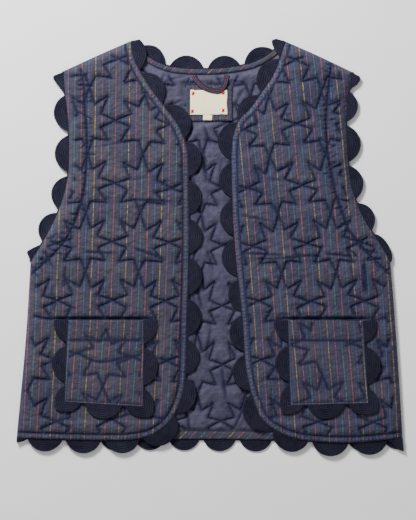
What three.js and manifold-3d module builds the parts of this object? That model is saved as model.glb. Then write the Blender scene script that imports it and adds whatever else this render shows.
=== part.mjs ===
// A quilted open-front vest with scalloped trim, laid flat: the back panel lies on the surface with its
// lining up, and the two fronts lie on it. Millimetres, +Z up, y up the garment, the origin on the flat
// underside.
// Left and right are as seen from above.
import * as THREE from "three";
import Module from "manifold-3d";

const wasm = await Module();
wasm.setup();

// Cloth and trim
const GAP = 0.3; // between pieces that touch on the real vest
const STITCHED = 1.7; // thickness of the quilted cloth on a row of stitches
const PUFFED = 4.2; // and at the crown of a puff
const BANDED = 1.6; // of a panel's sewn band, just under that of the stitched quilting
const EDGE = 1.0; // thickness of a sewn edge at its very rim
const POCKET_FLAT = 1.3; // thickness of the pocket's cloth on its stitches
const POCKET_PUFF = 1.2; // and how far its puffs rise above that
const TRIM = 1.6; // thickness of the corded scallop trim
const THIN = 1.0; // bias strips, label and its backing patch
const FACED = 0.2; // a bias strip stands this far inside the sewn edge

// Heights of what lies on what
const FRONT_BED = PUFFED + GAP; // underside of the fronts, on the puffs of the back
const TRIM_BED = TRIM + 0.4; // underside of the front trim where it lies on the back's trim
const OPENING_TRIM_BED = 3.3; // and where the opening's trim crosses the back's edge
const ARMHOLE_TRIM_BED = 2.6; // and at the armhole's edge
const ARMHOLE_BED = 2.5; // underside of the front's edge at the armhole
const SEAM_BED = 2.3; // and at the shoulder and side seams
const STRIP_BED = BANDED + GAP; // a bias strip lies on the sewn edge of the back
const PRESSED_FRONT = FRONT_BED + 2.6; // the fronts are pressed to this height under the pockets
const PRESSED_BACK = 3.0; // and the back to this height under the label
const POCKET_BED = PRESSED_FRONT + GAP;
const PATCH_BED = PRESSED_BACK + GAP;
const LABEL_BED = PATCH_BED + THIN + GAP;

// Widths of sewn bands and of the strips that cover them
const EDGE_BAND = 8;
const HEM_BAND = 11;
const NECK_STRIP = 6.5;
const HEM_STRIP = 10.3;

// Star quilting: one star in each cell of this size
const STAR_WIDE = 69;
const STAR_TALL = 78.4;

// Scallops of the trim
const SCALLOP_CENTRE = 6.5; // an arc's centre lies this far inside the sewn edge
const SCALLOP_NOTCH = 1.4; // half of the bare notch between two scallops
const BAND = 1.5; // how far the trim's band shows past the edge in a notch
const ARC_STEPS = 7;

const COLOURS = {
  shell: "#464a5e", // navy yarn-dyed cotton
  lining: "#4c4f66", // plain slate lining
  trim: "#191b29", // dark corded trim
  label: "#f1e8d4", // cream cotton
};

// Edges, each a smooth curve through a few places, listed anticlockwise round its panel
const LEFT_OPENING = [
  { at: "hem at the side", x: -251, y: -249 },
  { at: "hem", x: -187, y: -251 },
  { at: "hem", x: -130, y: -252 },
  { at: "corner starts", x: -101, y: -251 },
  { at: "round corner", x: -75, y: -245 },
  { at: "round corner", x: -55, y: -231 },
  { at: "round corner", x: -42, y: -211 },
  { at: "corner ends", x: -35, y: -190 },
  { at: "front edge", x: -32, y: -169 },
  { at: "front edge", x: -30, y: -96 },
  { at: "front edge", x: -28, y: -18 },
  { at: "chest", x: -28, y: 88 },
  { at: "break of the neck", x: -29, y: 122 },
  { at: "neck", x: -34, y: 140 },
  { at: "neck", x: -43, y: 159 },
  { at: "neck", x: -58, y: 179 },
  { at: "neck", x: -76, y: 203 },
  { at: "neck", x: -90, y: 225 },
  { at: "neck", x: -98, y: 242 },
  { at: "neck point", x: -103, y: 266 },
];
const LEFT_SHOULDER = [
  { at: "neck point", x: -103, y: 266 },
  { at: "shoulder", x: -142, y: 249 },
  { at: "shoulder point", x: -190, y: 227 },
];
const LEFT_ARMHOLE = [
  { at: "shoulder point", x: -190, y: 227 },
  { at: "armhole", x: -188, y: 198 },
  { at: "armhole", x: -184, y: 164 },
  { at: "armhole", x: -183, y: 125 },
  { at: "armhole", x: -185, y: 86 },
  { at: "armhole", x: -197, y: 45 },
  { at: "armhole", x: -218, y: 3 },
  { at: "underarm", x: -233, y: -21 },
];
const LEFT_SIDE = [
  { at: "underarm", x: -233, y: -21 },
  { at: "side", x: -239, y: -118 },
  { at: "hem at the side", x: -251, y: -249 },
];
const RIGHT_OPENING = [
  { at: "neck point", x: 97, y: 266 },
  { at: "neck", x: 91, y: 244 },
  { at: "neck", x: 81, y: 220 },
  { at: "neck", x: 66, y: 198 },
  { at: "neck", x: 51, y: 177 },
  { at: "neck", x: 38, y: 164 },
  { at: "neck", x: 31, y: 147 },
  { at: "break of the neck", x: 28, y: 126 },
  { at: "chest", x: 28, y: 91 },
  { at: "front edge", x: 30, y: 34 },
  { at: "front edge", x: 34, y: -18 },
  { at: "front edge", x: 42, y: -95 },
  { at: "corner starts", x: 47, y: -161 },
  { at: "round corner", x: 55, y: -195 },
  { at: "round corner", x: 68, y: -225 },
  { at: "round corner", x: 87, y: -240 },
  { at: "corner ends", x: 112, y: -250 },
  { at: "hem", x: 143, y: -254 },
  { at: "hem", x: 187, y: -255 },
  { at: "hem at the side", x: 250, y: -249 },
];
const RIGHT_SIDE = [
  { at: "hem at the side", x: 250, y: -249 },
  { at: "side", x: 244, y: -152 },
  { at: "side", x: 238, y: -69 },
  { at: "underarm", x: 234, y: -21 },
];
const RIGHT_ARMHOLE = [
  { at: "underarm", x: 234, y: -21 },
  { at: "armhole", x: 222, y: 0 },
  { at: "armhole", x: 198, y: 38 },
  { at: "armhole", x: 183, y: 78 },
  { at: "armhole", x: 179, y: 112 },
  { at: "armhole", x: 177, y: 148 },
  { at: "armhole", x: 177, y: 177 },
  { at: "armhole", x: 181, y: 208 },
  { at: "shoulder point", x: 184, y: 226 },
];
const RIGHT_SHOULDER = [
  { at: "shoulder point", x: 184, y: 226 },
  { at: "shoulder", x: 140, y: 247 },
  { at: "neck point", x: 97, y: 266 },
];
const BACK_NECK = [
  { at: "right neck point", x: 97, y: 266 },
  { at: "back neck", x: 68, y: 244 },
  { at: "back neck", x: 43, y: 235 },
  { at: "middle", x: -5, y: 230 },
  { at: "back neck", x: -55, y: 234 },
  { at: "back neck", x: -82, y: 247 },
  { at: "left neck point", x: -103, y: 266 },
];
const BACK_HEM = [
  { at: "left side", x: -251, y: -249 },
  { at: "hem", x: -187, y: -251 },
  { at: "middle", x: 0, y: -251 },
  { at: "hem", x: 182, y: -252 },
  { at: "right side", x: 250, y: -249 },
];
const LEFT_POCKET = [
  { at: "top left", x: -184.2, y: -96.2 },
  { at: "bottom left", x: -188.5, y: -202.2 },
  { at: "bottom right", x: -86.8, y: -208.3 },
  { at: "top right", x: -85.9, y: -96.2 },
];
const RIGHT_POCKET = [
  { at: "top left", x: 100.9, y: -96.2 },
  { at: "bottom left", x: 104.3, y: -206.4 },
  { at: "bottom right", x: 205.1, y: -203.8 },
  { at: "top right", x: 198.3, y: -97 },
];

// Notches between scallops, in millimetres along each edge. A part scallop at an end, where the trim
// folds over a seam, is as deep as its share of a full one.
const RUNS = {
  leftOpening: {
    notches: [12, 61, 112, 162, 217, 269, 319, 372, 425, 476, 526, 576, 630, 682],
    firstShare: 0.4,
    lastShare: 1,
  },
  rightOpening: {
    notches: [22, 77, 122, 175, 224, 274, 327, 373, 425, 477, 532, 585, 637, 688],
    firstShare: 1,
    lastShare: 1,
  },
  leftArmhole: { notches: [29, 81, 134, 184, 231], firstShare: 0.9, lastShare: 0.6 },
  rightArmhole: { notches: [45, 91, 141, 193, 238], firstShare: 0.5, lastShare: 0.7 },
  backNeck: { notches: [16, 64, 112, 162, 211], firstShare: 1, lastShare: 1 },
  backHem: {
    notches: [16, 62, 106, 151, 195, 240, 287, 334, 381, 427, 473],
    firstShare: 0.4,
    lastShare: 1,
  },
  pocket: { notches: [30.5, 82.6, 129.6, 183, 233, 287], firstShare: 1, lastShare: 1 },
};

// Creases that cross the fronts: soft troughs from one point to another
const CREASES = [
  { x0: -192, y0: -9, x1: -58, y1: -13, deep: 0.8, wide: 10 },
  { x0: -107, y0: 58, x1: -43, y1: 58, deep: 0.6, wide: 8 },
  { x0: 39, y0: -18, x1: 191, y1: -12, deep: 0.8, wide: 10 },
];

const clamp01 = (t) => Math.min(1, Math.max(0, t));
const mix = (a, b, t) => a + (b - a) * clamp01(t);
const smooth = (t) => clamp01(t) ** 2 * (3 - 2 * clamp01(t));

// An edge as a dense line with its length: a place along it, and the outward direction there.
class Edge {
  constructor(rows, { rounded = true, turn = 6 } = {}) {
    const corners = rows.map((row) => new THREE.Vector3(row.x, row.y, 0));
    const line = rounded
      ? new THREE.CatmullRomCurve3(corners, false, "centripetal")
      : corners.slice(1).reduce((path, corner, i) => {
          path.add(new THREE.LineCurve3(corners[i], corner));
          return path;
        }, new THREE.CurvePath());
    this.turn = turn; // the outward direction is smoothed over this length
    this.corners = []; // stations of sharp corners
    this.points = rounded ? line.getPoints(rows.length * 12) : line.getPoints(30);
    this.points = this.points.map((p) => new THREE.Vector2(p.x, p.y));
    this.stations = [0];
    for (let i = 1; i < this.points.length; i++)
      this.stations.push(this.stations[i - 1] + this.points[i].distanceTo(this.points[i - 1]));
    this.length = this.stations.at(-1);
    if (!rounded)
      corners.slice(1, -1).forEach((corner, i) => {
        const before = this.corners.at(-1) ?? 0;
        this.corners.push(before + corner.distanceTo(corners[i]));
      });
  }
  at(s) {
    const here = Math.min(this.length, Math.max(0, s));
    let i = this.stations.findIndex((station) => station >= here);
    i = Math.max(1, i);
    const t = (here - this.stations[i - 1]) / (this.stations[i] - this.stations[i - 1]);
    return this.points[i - 1].clone().lerp(this.points[i], t);
  }
  out(s) {
    const along = this.at(s + this.turn).sub(this.at(s - this.turn)).normalize();
    return new THREE.Vector2(along.y, -along.x);
  }
  off(s, distance) {
    return this.at(s).addScaledVector(this.out(s), distance);
  }
}

// Stations shared by a trimmed edge and its trim: the ends, the notches, and even steps between notches
function trimStations(edge, notches, steps) {
  const marks = [0, ...notches, ...edge.corners, edge.length].sort((a, b) => a - b);
  return marks.slice(1).flatMap((mark, i) => {
    const from = marks[i];
    const count = Math.max(1, Math.round(((mark - from) / 50) * steps));
    return Array.from({ length: count }, (_, k) => from + ((mark - from) * k) / count);
  });
}
const evenStations = (edge, spacing) => {
  const count = Math.max(1, Math.round(edge.length / spacing));
  return Array.from({ length: count }, (_, k) => (edge.length * k) / count);
};

// Closed solids. A mesh is a list of points and faces, anticlockwise from outside.
function solidOf(points, faces) {
  const vertProperties = new Float32Array(points.flatMap((p) => [p.x, p.y, p.z]));
  return new wasm.Manifold(
    new wasm.Mesh({ numProp: 3, vertProperties, triVerts: new Uint32Array(faces.flat()) }),
  );
}

// A wall over a flat plan: its faces at topAt, turned over at bottomAt, and sides round its border.
function wall(plan, bottomAt, topAt) {
  const count = plan.points.length;
  const points = [bottomAt, topAt].flatMap((heightAt) =>
    plan.points.map((p, i) => new THREE.Vector3(p.x, p.y, heightAt(p, i))),
  );
  const used = new Set(plan.faces.flatMap(([a, b, c]) => [`${a} ${b}`, `${b} ${c}`, `${c} ${a}`]));
  const sides = [...used].map((key) => key.split(" ").map(Number));
  const border = sides.filter(([a, b]) => !used.has(`${b} ${a}`));
  return solidOf(points, [
    ...plan.faces.map(([a, b, c]) => [a, c, b]),
    ...plan.faces.map((face) => face.map((i) => i + count)),
    ...border.flatMap(([a, b]) => [
      [a, b, b + count],
      [a, b + count, a + count],
    ]),
  ]);
}
const level = (z) => () => z;

// The plan of a simple outline
function planOf(outline) {
  return { points: outline, faces: THREE.ShapeUtils.triangulateShape(outline, []) };
}

function box(x0, x1, y0, y1, z0, z1) {
  const corners = [
    [x0, y0],
    [x1, y0],
    [x1, y1],
    [x0, y1],
  ];
  return wall(planOf(corners.map(([x, y]) => new THREE.Vector2(x, y))), level(z0), level(z1));
}

// The quilting as a plan whose faces meet on the stitched lines. Each point has a crown: 0 on the
// stitches and up to 1 in the middle of a puff. Stars and crosses fill the plane between them.
const QUARTER = [
  { x: 0, y: 0 }, // where four stars meet
  { x: 6.4, y: 18 },
  { x: 21, y: 9.6 },
  { x: 14.6, y: 30.2 },
  { x: STAR_WIDE / 2, y: STAR_TALL / 2 }, // where two rows of stars touch
];
function motif(centre, quarter, inner) {
  // the quarter's points seen from the centre, mirrored into a full ring
  const seen = quarter.map((p) => new THREE.Vector2(p.x - centre.x, p.y - centre.y));
  const mirrored = (sx, sy) => seen.map((p) => new THREE.Vector2(p.x * sx, p.y * sy));
  const ring = [[1, 1], [-1, 1], [1, -1], [-1, -1]]
    .flatMap(([sx, sy]) => mirrored(sx, sy))
    .filter((p, i, all) => all.findIndex((q) => q.distanceTo(p) < 0.1) === i)
    .sort((p, q) => p.angle() - q.angle());
  return { ring, inner: inner.map((p) => new THREE.Vector3(p.x, p.y, p.crown)) };
}
// Inner points of a star: inside each notch of its outline. Of a cross: its waist and its four arms.
const STAR_MIDDLE = { x: 0, y: STAR_TALL / 2 };
const CROSS_MIDDLE = { x: STAR_WIDE / 2, y: 0 };
const STAR = motif(STAR_MIDDLE, QUARTER, [
  { x: 8.5, y: 4.7, crown: 0.95 },
  { x: 4, y: 11, crown: 0.9 },
  { x: -4, y: 11, crown: 0.9 },
  { x: -8.5, y: 4.7, crown: 0.95 },
  { x: -8.5, y: -4.7, crown: 0.95 },
  { x: -4, y: -11, crown: 0.9 },
  { x: 4, y: -11, crown: 0.9 },
  { x: 8.5, y: -4.7, crown: 0.95 },
]);
const CROSS = motif(CROSS_MIDDLE, QUARTER, [
  { x: 20, y: 0, crown: 0.8 },
  { x: 7, y: 5, crown: 0.95 },
  { x: 0, y: 24, crown: 0.9 },
  { x: -7, y: 5, crown: 0.95 },
  { x: -20, y: 0, crown: 0.8 },
  { x: -7, y: -5, crown: 0.95 },
  { x: 0, y: -24, crown: 0.9 },
  { x: 7, y: -5, crown: 0.95 },
]);

function quiltPlan({ x, y, lean, columns, rows }) {
  const points = [];
  const faces = [];
  const known = new Map();
  const add = (px, py, crown) => {
    const key = `${Math.round(px * 50)} ${Math.round(py * 50)}`;
    if (!known.has(key)) {
      known.set(key, points.length);
      const point = new THREE.Vector2(x + px + py * lean, y + py);
      point.crown = crown;
      points.push(point);
    }
    return known.get(key);
  };
  const place = ({ ring, inner }, cx, cy) => {
    const outer = ring.map((p) => add(cx + p.x, cy + p.y, 0));
    const angles = ring.map((p) => p.angle());
    const middle = add(cx, cy, 1);
    const crown = inner.map((p) => add(cx + p.x, cy + p.y, p.z));
    const around = inner.map((p) => (Math.atan2(p.y, p.x) + 2 * Math.PI) % (2 * Math.PI));
    const order = crown.map((_, i) => i).sort((a, b) => around[a] - around[b]);
    // walk both rings by angle, always taking the step whose next point comes first
    let i = 0;
    let j = 0;
    const total = outer.length + order.length;
    const outerAngle = (k) => angles[k % outer.length] + 2 * Math.PI * Math.floor(k / outer.length);
    const innerAngle = (k) =>
      around[order[k % order.length]] + 2 * Math.PI * Math.floor(k / order.length);
    for (let step = 0; step < total; step++) {
      const a = outer[i % outer.length];
      const b = crown[order[j % order.length]];
      if (j === order.length || (i < outer.length && outerAngle(i + 1) <= innerAngle(j + 1))) {
        faces.push([a, outer[(i + 1) % outer.length], b]);
        i++;
      } else {
        faces.push([a, crown[order[(j + 1) % order.length]], b]);
        j++;
      }
    }
    order.forEach((k, n) => faces.push([middle, crown[k], crown[order[(n + 1) % order.length]]]));
  };
  for (let i = -columns; i <= columns; i++)
    for (let j = -rows; j <= rows; j++) {
      place(STAR, i * STAR_WIDE, (j + 0.5) * STAR_TALL);
      place(CROSS, (i + 0.5) * STAR_WIDE, j * STAR_TALL);
    }
  return { points, faces };
}

// A panel's outline: points with their inward direction, the room inward before a corner is met,
// and the section that the cloth has there.
function outlineOf(edges) {
  const outline = edges.flatMap(({ edge, stations, section }) =>
    stations.map((s, i) => ({ point: edge.at(s), section, corner: i === 0 })),
  );
  const count = outline.length;
  outline.forEach((place, i) => {
    const before = outline[(i + count - 1) % count];
    const after = outline[(i + 1) % count];
    const a = place.point.clone().sub(before.point).normalize();
    const b = after.point.clone().sub(place.point).normalize();
    const along = a.clone().add(b).normalize();
    place.inward = new THREE.Vector2(-along.y, along.x);
    place.miter = 1 / Math.max(0.5, Math.abs(along.dot(a)));
    place.half = (Math.PI - Math.acos(THREE.MathUtils.clamp(a.dot(b), -1, 1))) / 2;
    if (place.corner)
      place.section = before.section.map(([deep, z], k) => [
        (deep + place.section[k][0]) / 2,
        (z + place.section[k][1]) / 2,
      ]);
  });
  const corners = outline.filter((place) => place.corner);
  outline.forEach((place) => {
    const rooms = corners
      .filter((corner) => corner !== place)
      .map((corner) => 0.9 * corner.point.distanceTo(place.point) * Math.tan(corner.half));
    place.room = Math.min(...rooms);
  });
  return outline;
}

// A closed body lofted round an outline: each place's section runs from under the middle, out to the
// edge and back over the top, as [distance inward, height] pairs.
function shellOf(outline) {
  const steps = outline[0].section.length;
  const points = outline.flatMap((place) =>
    place.section.map(([deep, z]) => {
      const reach = Math.min(deep, place.room) * place.miter;
      const p = place.point.clone().addScaledVector(place.inward, reach);
      return new THREE.Vector3(p.x, p.y, z);
    }),
  );
  const faces = [];
  outline.forEach((_, i) => {
    const here = i * steps;
    const next = ((i + 1) % outline.length) * steps;
    for (let k = 0; k < steps - 1; k++) {
      faces.push([here + k, next + k, next + k + 1]);
      faces.push([here + k, next + k + 1, here + k + 1]);
    }
  });
  const cap = (k) => {
    const rim = outline.map((_, i) => points[i * steps + k]);
    const flat = rim.map((p) => new THREE.Vector2(p.x, p.y));
    return THREE.ShapeUtils.triangulateShape(flat, []).map((face) =>
      face.map((i) => i * steps + k),
    );
  };
  cap(0).forEach(([a, b, c]) => faces.push([a, c, b]));
  cap(steps - 1).forEach((face) => faces.push(face));
  return solidOf(points, faces);
}

const HIGH = 14; // above every puff, so the quilting alone sets the height there
const openSection = (bottom) => [
  [6, FRONT_BED],
  [0, bottom],
  [0, bottom + EDGE],
  [1.2, bottom + BANDED],
  [7, mix(bottom, FRONT_BED, 0.9) + BANDED],
  [8, FRONT_BED + EDGE], // the row of topstitching
  [9.5, FRONT_BED + BANDED],
  [17, HIGH],
];
const seamSection = (bottom) => [
  [6, FRONT_BED],
  [0, bottom],
  [0, bottom + EDGE],
  [1.2, bottom + 2.2],
  [3, bottom + 3.1],
  [5, bottom + 3.6],
  [7, FRONT_BED + BANDED],
  [15, HIGH],
];
// band is the width of the flat sewn edge
const backSection = (band) => [
  [band + 10, 0],
  [0, 0],
  [0, EDGE],
  [1.2, BANDED],
  [band, BANDED],
  [band + 9, PUFFED],
  [band + 10, HIGH],
];
const pocketSection = (rim) => [
  [8, POCKET_BED],
  [0, POCKET_BED],
  [0, POCKET_BED + rim - 0.4],
  [0.8, POCKET_BED + rim],
  [3, POCKET_BED + rim],
  [8, HIGH],
];
const SECTIONS = {
  opening: openSection(FRONT_BED),
  armhole: openSection(ARMHOLE_BED),
  seam: seamSection(SEAM_BED),
  backEdge: backSection(EDGE_BAND),
  backHem: backSection(HEM_BAND),
  pocketEdge: pocketSection(POCKET_FLAT - 0.05),
};

const leftOpening = new Edge(LEFT_OPENING);
const rightOpening = new Edge(RIGHT_OPENING);
const leftArmhole = new Edge(LEFT_ARMHOLE);
const rightArmhole = new Edge(RIGHT_ARMHOLE);
const leftSide = new Edge(LEFT_SIDE);
const rightSide = new Edge(RIGHT_SIDE);
const leftShoulder = new Edge(LEFT_SHOULDER);
const rightShoulder = new Edge(RIGHT_SHOULDER);
const backNeck = new Edge(BACK_NECK);
const backHem = new Edge(BACK_HEM);

const NOTCH_STEPS = 3; // points of an edge for each scallop
const SEAM_STEP = 26; // and along a seam
const trimmed = (edge, run, section) => ({
  edge,
  section,
  stations: trimStations(edge, run.notches, NOTCH_STEPS),
});
const seamed = (edge, section) => ({ edge, section, stations: evenStations(edge, SEAM_STEP) });

// Height of the underside of the front's trim: on the back inside the back's outline, and sloping
// down to the back's own trim outside it.
const backOutline = outlineOf([
  trimmed(backNeck, RUNS.backNeck, SECTIONS.backEdge),
  seamed(leftShoulder, SECTIONS.backEdge),
  trimmed(leftArmhole, RUNS.leftArmhole, SECTIONS.backEdge),
  seamed(leftSide, SECTIONS.backEdge),
  trimmed(backHem, RUNS.backHem, SECTIONS.backHem),
  seamed(rightSide, SECTIONS.backEdge),
  trimmed(rightArmhole, RUNS.rightArmhole, SECTIONS.backEdge),
  seamed(rightShoulder, SECTIONS.backEdge),
]);
function insideBack(p) {
  const corners = backOutline.map((place) => place.point);
  let nearest = Infinity;
  let inside = false;
  corners.forEach((a, i) => {
    const b = corners[(i + 1) % corners.length];
    const side = b.clone().sub(a);
    const t = clamp01(p.clone().sub(a).dot(side) / side.lengthSq());
    nearest = Math.min(nearest, p.distanceTo(a.clone().addScaledVector(side, t)));
    if (a.y > p.y !== b.y > p.y && p.x < a.x + ((p.y - a.y) / (b.y - a.y)) * (b.x - a.x))
      inside = !inside;
  });
  return inside ? nearest : -nearest;
}
const trimBed = (atEdge) => (p) => {
  const deep = insideBack(p);
  return deep < 0 ? mix(atEdge, TRIM_BED, -deep / 12) : mix(atEdge, FRONT_BED, deep / 8);
};

// An open line moved to its outer side, with mitred corners
function beside(line, distance) {
  return line.map((p, i) => {
    const before = line[Math.max(0, i - 1)];
    const after = line[Math.min(line.length - 1, i + 1)];
    const a = p.clone().sub(before);
    const b = after.clone().sub(p);
    if (i === 0) a.copy(b);
    if (i === line.length - 1) b.copy(a);
    const along = a.normalize().add(b.normalize()).normalize();
    const miter = 1 / Math.max(0.5, Math.abs(along.dot(b)));
    return p.clone().addScaledVector(new THREE.Vector2(along.y, -along.x), distance * miter);
  });
}

// The scalloped trim along an edge, as one flat plan: a narrow band with a part circle between notches
function trimPlan(edge, run) {
  const { notches, firstShare, lastShare } = run;
  const pitch = (notches.at(-1) - notches[0]) / (notches.length - 1);
  const marks = [notches[0] - pitch, ...notches, notches.at(-1) + pitch];
  const outer = [];
  marks.slice(1).forEach((to, i) => {
    const from = marks[i];
    const middle = (from + to) / 2;
    const radius = (to - from) / 2 - SCALLOP_NOTCH;
    const spread = Math.acos((SCALLOP_CENTRE + BAND) / radius);
    const share = i === 0 ? firstShare : i === marks.length - 2 ? lastShare : 1;
    for (let k = 0; k <= ARC_STEPS; k++) {
      const turn = spread * ((2 * k) / ARC_STEPS - 1);
      const s = middle + radius * Math.sin(turn);
      const deep = BAND + (radius * Math.cos(turn) - SCALLOP_CENTRE - BAND) * share;
      if (s > 0 && s < edge.length) outer.push({ s, deep });
    }
  });
  const first = { s: 0, deep: outer[0].deep };
  const last = { s: edge.length, deep: outer.at(-1).deep };
  const rim = [first, ...outer, last].map(({ s, deep }) => edge.off(s, deep));
  const stations = [...trimStations(edge, notches, NOTCH_STEPS), edge.length];
  return planOf([...beside(stations.map((s) => edge.at(s)), GAP).reverse(), ...rim]);
}

// The two layers of an armhole's trim lie on each other, the front's on the back's.
const frontTrim = (edge, run, atEdge) => {
  const bed = trimBed(atEdge);
  return wall(trimPlan(edge, run), bed, (p) => bed(p) + TRIM);
};
const backTrim = (edge, run) => wall(trimPlan(edge, run), level(0), level(TRIM));

// Bias strips follow an edge on its inner side, from one station to another
const STRIPS = {
  neck: { from: 14, to: 200, wide: NECK_STRIP, steps: 16 },
  hem: { from: 14, to: 487, wide: HEM_STRIP, steps: 12 },
};
function stripPlan(edge, { from, to, wide, steps }) {
  const stations = Array.from({ length: steps + 1 }, (_, k) => mix(from, to, k / steps));
  const outer = stations.map((s) => edge.off(s, -FACED));
  const inner = stations.map((s) => edge.off(s, -wide));
  const points = [...outer, ...inner];
  const faces = stations.slice(1).flatMap((_, k) => [
    [k + 1, steps + k + 2, k],
    [steps + k + 2, steps + k + 1, k],
  ]);
  return { points, faces };
}
const biasStrip = (edge, strip) =>
  wall(stripPlan(edge, strip), level(STRIP_BED), level(STRIP_BED + THIN));

// Creases lower a front's puffs along a line
function creaseAt(p) {
  return CREASES.reduce((sum, { x0, y0, x1, y1, deep, wide }) => {
    const a = new THREE.Vector2(x0, y0);
    const side = new THREE.Vector2(x1, y1).sub(a);
    const t = clamp01(p.clone().sub(a).dot(side) / side.lengthSq());
    const away = p.distanceTo(a.addScaledVector(side, t)) / wide;
    return sum + deep * Math.exp(-away * away);
  }, 0);
}

// Rectangles where what lies on the quilting presses it flat: 1 inside, fading over a few millimetres
const PRESSES = {
  leftPocket: { x0: -208, x1: -62, y0: -230, y1: -90 },
  rightPocket: { x0: 78, x1: 228, y0: -230, y1: -90 },
  label: { x0: -33, x1: 31, y0: 160, y1: 211 },
};
const FADE = 16;
const pressedAt = (p) =>
  Math.max(
    ...Object.values(PRESSES).map(({ x0, x1, y0, y1 }) => {
      const away = Math.hypot(
        Math.max(x0 - p.x, 0, p.x - x1),
        Math.max(y0 - p.y, 0, p.y - y1),
      );
      return 1 - smooth(away / FADE);
    }),
  );
const pressed = (solid, { x0, x1, y0, y1 }, height) =>
  solid.subtract(box(x0, x1, y0, y1, height, HIGH * 2));

const DEEP_BELOW = -6; // the quilting is cut from a block that reaches below every panel
const quilted = (plan, bed, pressing, crease) =>
  wall(plan, level(DEEP_BELOW), (p) => {
    const puff = (PUFFED - STITCHED) * p.crown * mix(1, pressing, pressedAt(p));
    return bed + STITCHED + puff - crease(p) * p.crown;
  });

const LEFT_QUILT = { x: -91, y: -33, lean: 0.035, columns: 3, rows: 4 };
const RIGHT_QUILT = { x: 163.4, y: -34, lean: -0.057, columns: 3, rows: 4 };
const BACK_QUILT = { x: -18.9, y: -115.5, lean: 0, columns: 5, rows: 5 };
const PRESS_SHARE = 0.3; // puffs keep this share of their height under a pocket or label

const frontPanel = (quilt, edges, press) =>
  pressed(
    quilted(quiltPlan(quilt), FRONT_BED, PRESS_SHARE, creaseAt).intersect(
      shellOf(outlineOf(edges)),
    ),
    press,
    PRESSED_FRONT,
  );

const frontLeft = frontPanel(
  LEFT_QUILT,
  [
    trimmed(leftOpening, RUNS.leftOpening, SECTIONS.opening),
    seamed(leftShoulder, SECTIONS.seam),
    trimmed(leftArmhole, RUNS.leftArmhole, SECTIONS.armhole),
    seamed(leftSide, SECTIONS.seam),
  ],
  PRESSES.leftPocket,
);
const frontRight = frontPanel(
  RIGHT_QUILT,
  [
    trimmed(rightOpening, RUNS.rightOpening, SECTIONS.opening),
    seamed(rightSide, SECTIONS.seam),
    trimmed(rightArmhole, RUNS.rightArmhole, SECTIONS.armhole),
    seamed(rightShoulder, SECTIONS.seam),
  ],
  PRESSES.rightPocket,
);
const back = pressed(
  quilted(quiltPlan(BACK_QUILT), 0, PRESS_SHARE, () => 0).intersect(shellOf(backOutline)),
  PRESSES.label,
  PRESSED_BACK,
);

// Patch pockets: the sides and bottom are one edge with the trim, the mouth is a folded hem
const POCKET_QUILTS = {
  left: { x: -118, y: -150, lean: 0.08, columns: 1, rows: 2 },
  right: { x: 150, y: -148, lean: -0.07, columns: 1, rows: 2 },
};
function pocket(rows, quilt) {
  const edge = new Edge(rows, { rounded: false });
  const mouth = new Edge([rows.at(-1), rows[0]], { rounded: false });
  const outline = outlineOf([
    trimmed(edge, RUNS.pocket, SECTIONS.pocketEdge),
    seamed(mouth, SECTIONS.pocketEdge),
  ]);
  const cloth = wall(
    quiltPlan(quilt),
    level(DEEP_BELOW),
    (p) => POCKET_BED + POCKET_FLAT + POCKET_PUFF * p.crown,
  );
  return cloth.intersect(shellOf(outline));
}

function pocketTrim(rows) {
  const edge = new Edge(rows, { rounded: false, turn: 22 });
  return wall(trimPlan(edge, RUNS.pocket), level(POCKET_BED), level(POCKET_BED + TRIM));
}

// Label, its backing patch, the size tab below it and the hanging loop above
const PATCH = { x0: -31, x1: 28.6, y0: 162.5, y1: 208.6 };
const LABEL = { x0: -25.7, x1: 22.1, y0: 170.6, y1: 202.5 };
const TAB = { x0: -9.1, x1: 2.6, y0: 163.4 };
const LOOP = [
  { x: -21, y: 221.5, z: 3.6 },
  { x: -17, y: 214.5, z: 4.8 },
  { x: -9, y: 206.5, z: 5.9 },
  { x: 4, y: 201.5, z: 6.1 },
  { x: 13, y: 201.5, z: 6.1 },
  { x: 18.8, y: 209, z: 5.9 },
  { x: 21.4, y: 218, z: 4.4 },
  { x: 22.2, y: 222, z: 3.6 },
];
const LOOP_WIDE = 7;
const LOOP_THICK = 1.2;
const LOOP_STEPS = 20;

function hangingLoop() {
  const path = new THREE.CatmullRomCurve3(
    LOOP.map((row) => new THREE.Vector3(row.x, row.y, row.z)),
    false,
    "centripetal",
  );
  const centres = path.getSpacedPoints(LOOP_STEPS);
  const points = centres.flatMap((centre, i) => {
    const along = path.getTangentAt(i / LOOP_STEPS);
    const side = new THREE.Vector2(along.y, -along.x).normalize();
    return [1, -1].map((way) => {
      const point = new THREE.Vector2(centre.x, centre.y);
      point.addScaledVector(side, (way * LOOP_WIDE) / 2);
      point.bed = centre.z;
      return point;
    });
  });
  const faces = centres.slice(1).flatMap((_, i) => [
    [2 * i, 2 * i + 2, 2 * i + 1],
    [2 * i + 1, 2 * i + 2, 2 * i + 3],
  ]);
  return wall({ points, faces }, (p) => p.bed, (p) => p.bed + LOOP_THICK);
}

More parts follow.
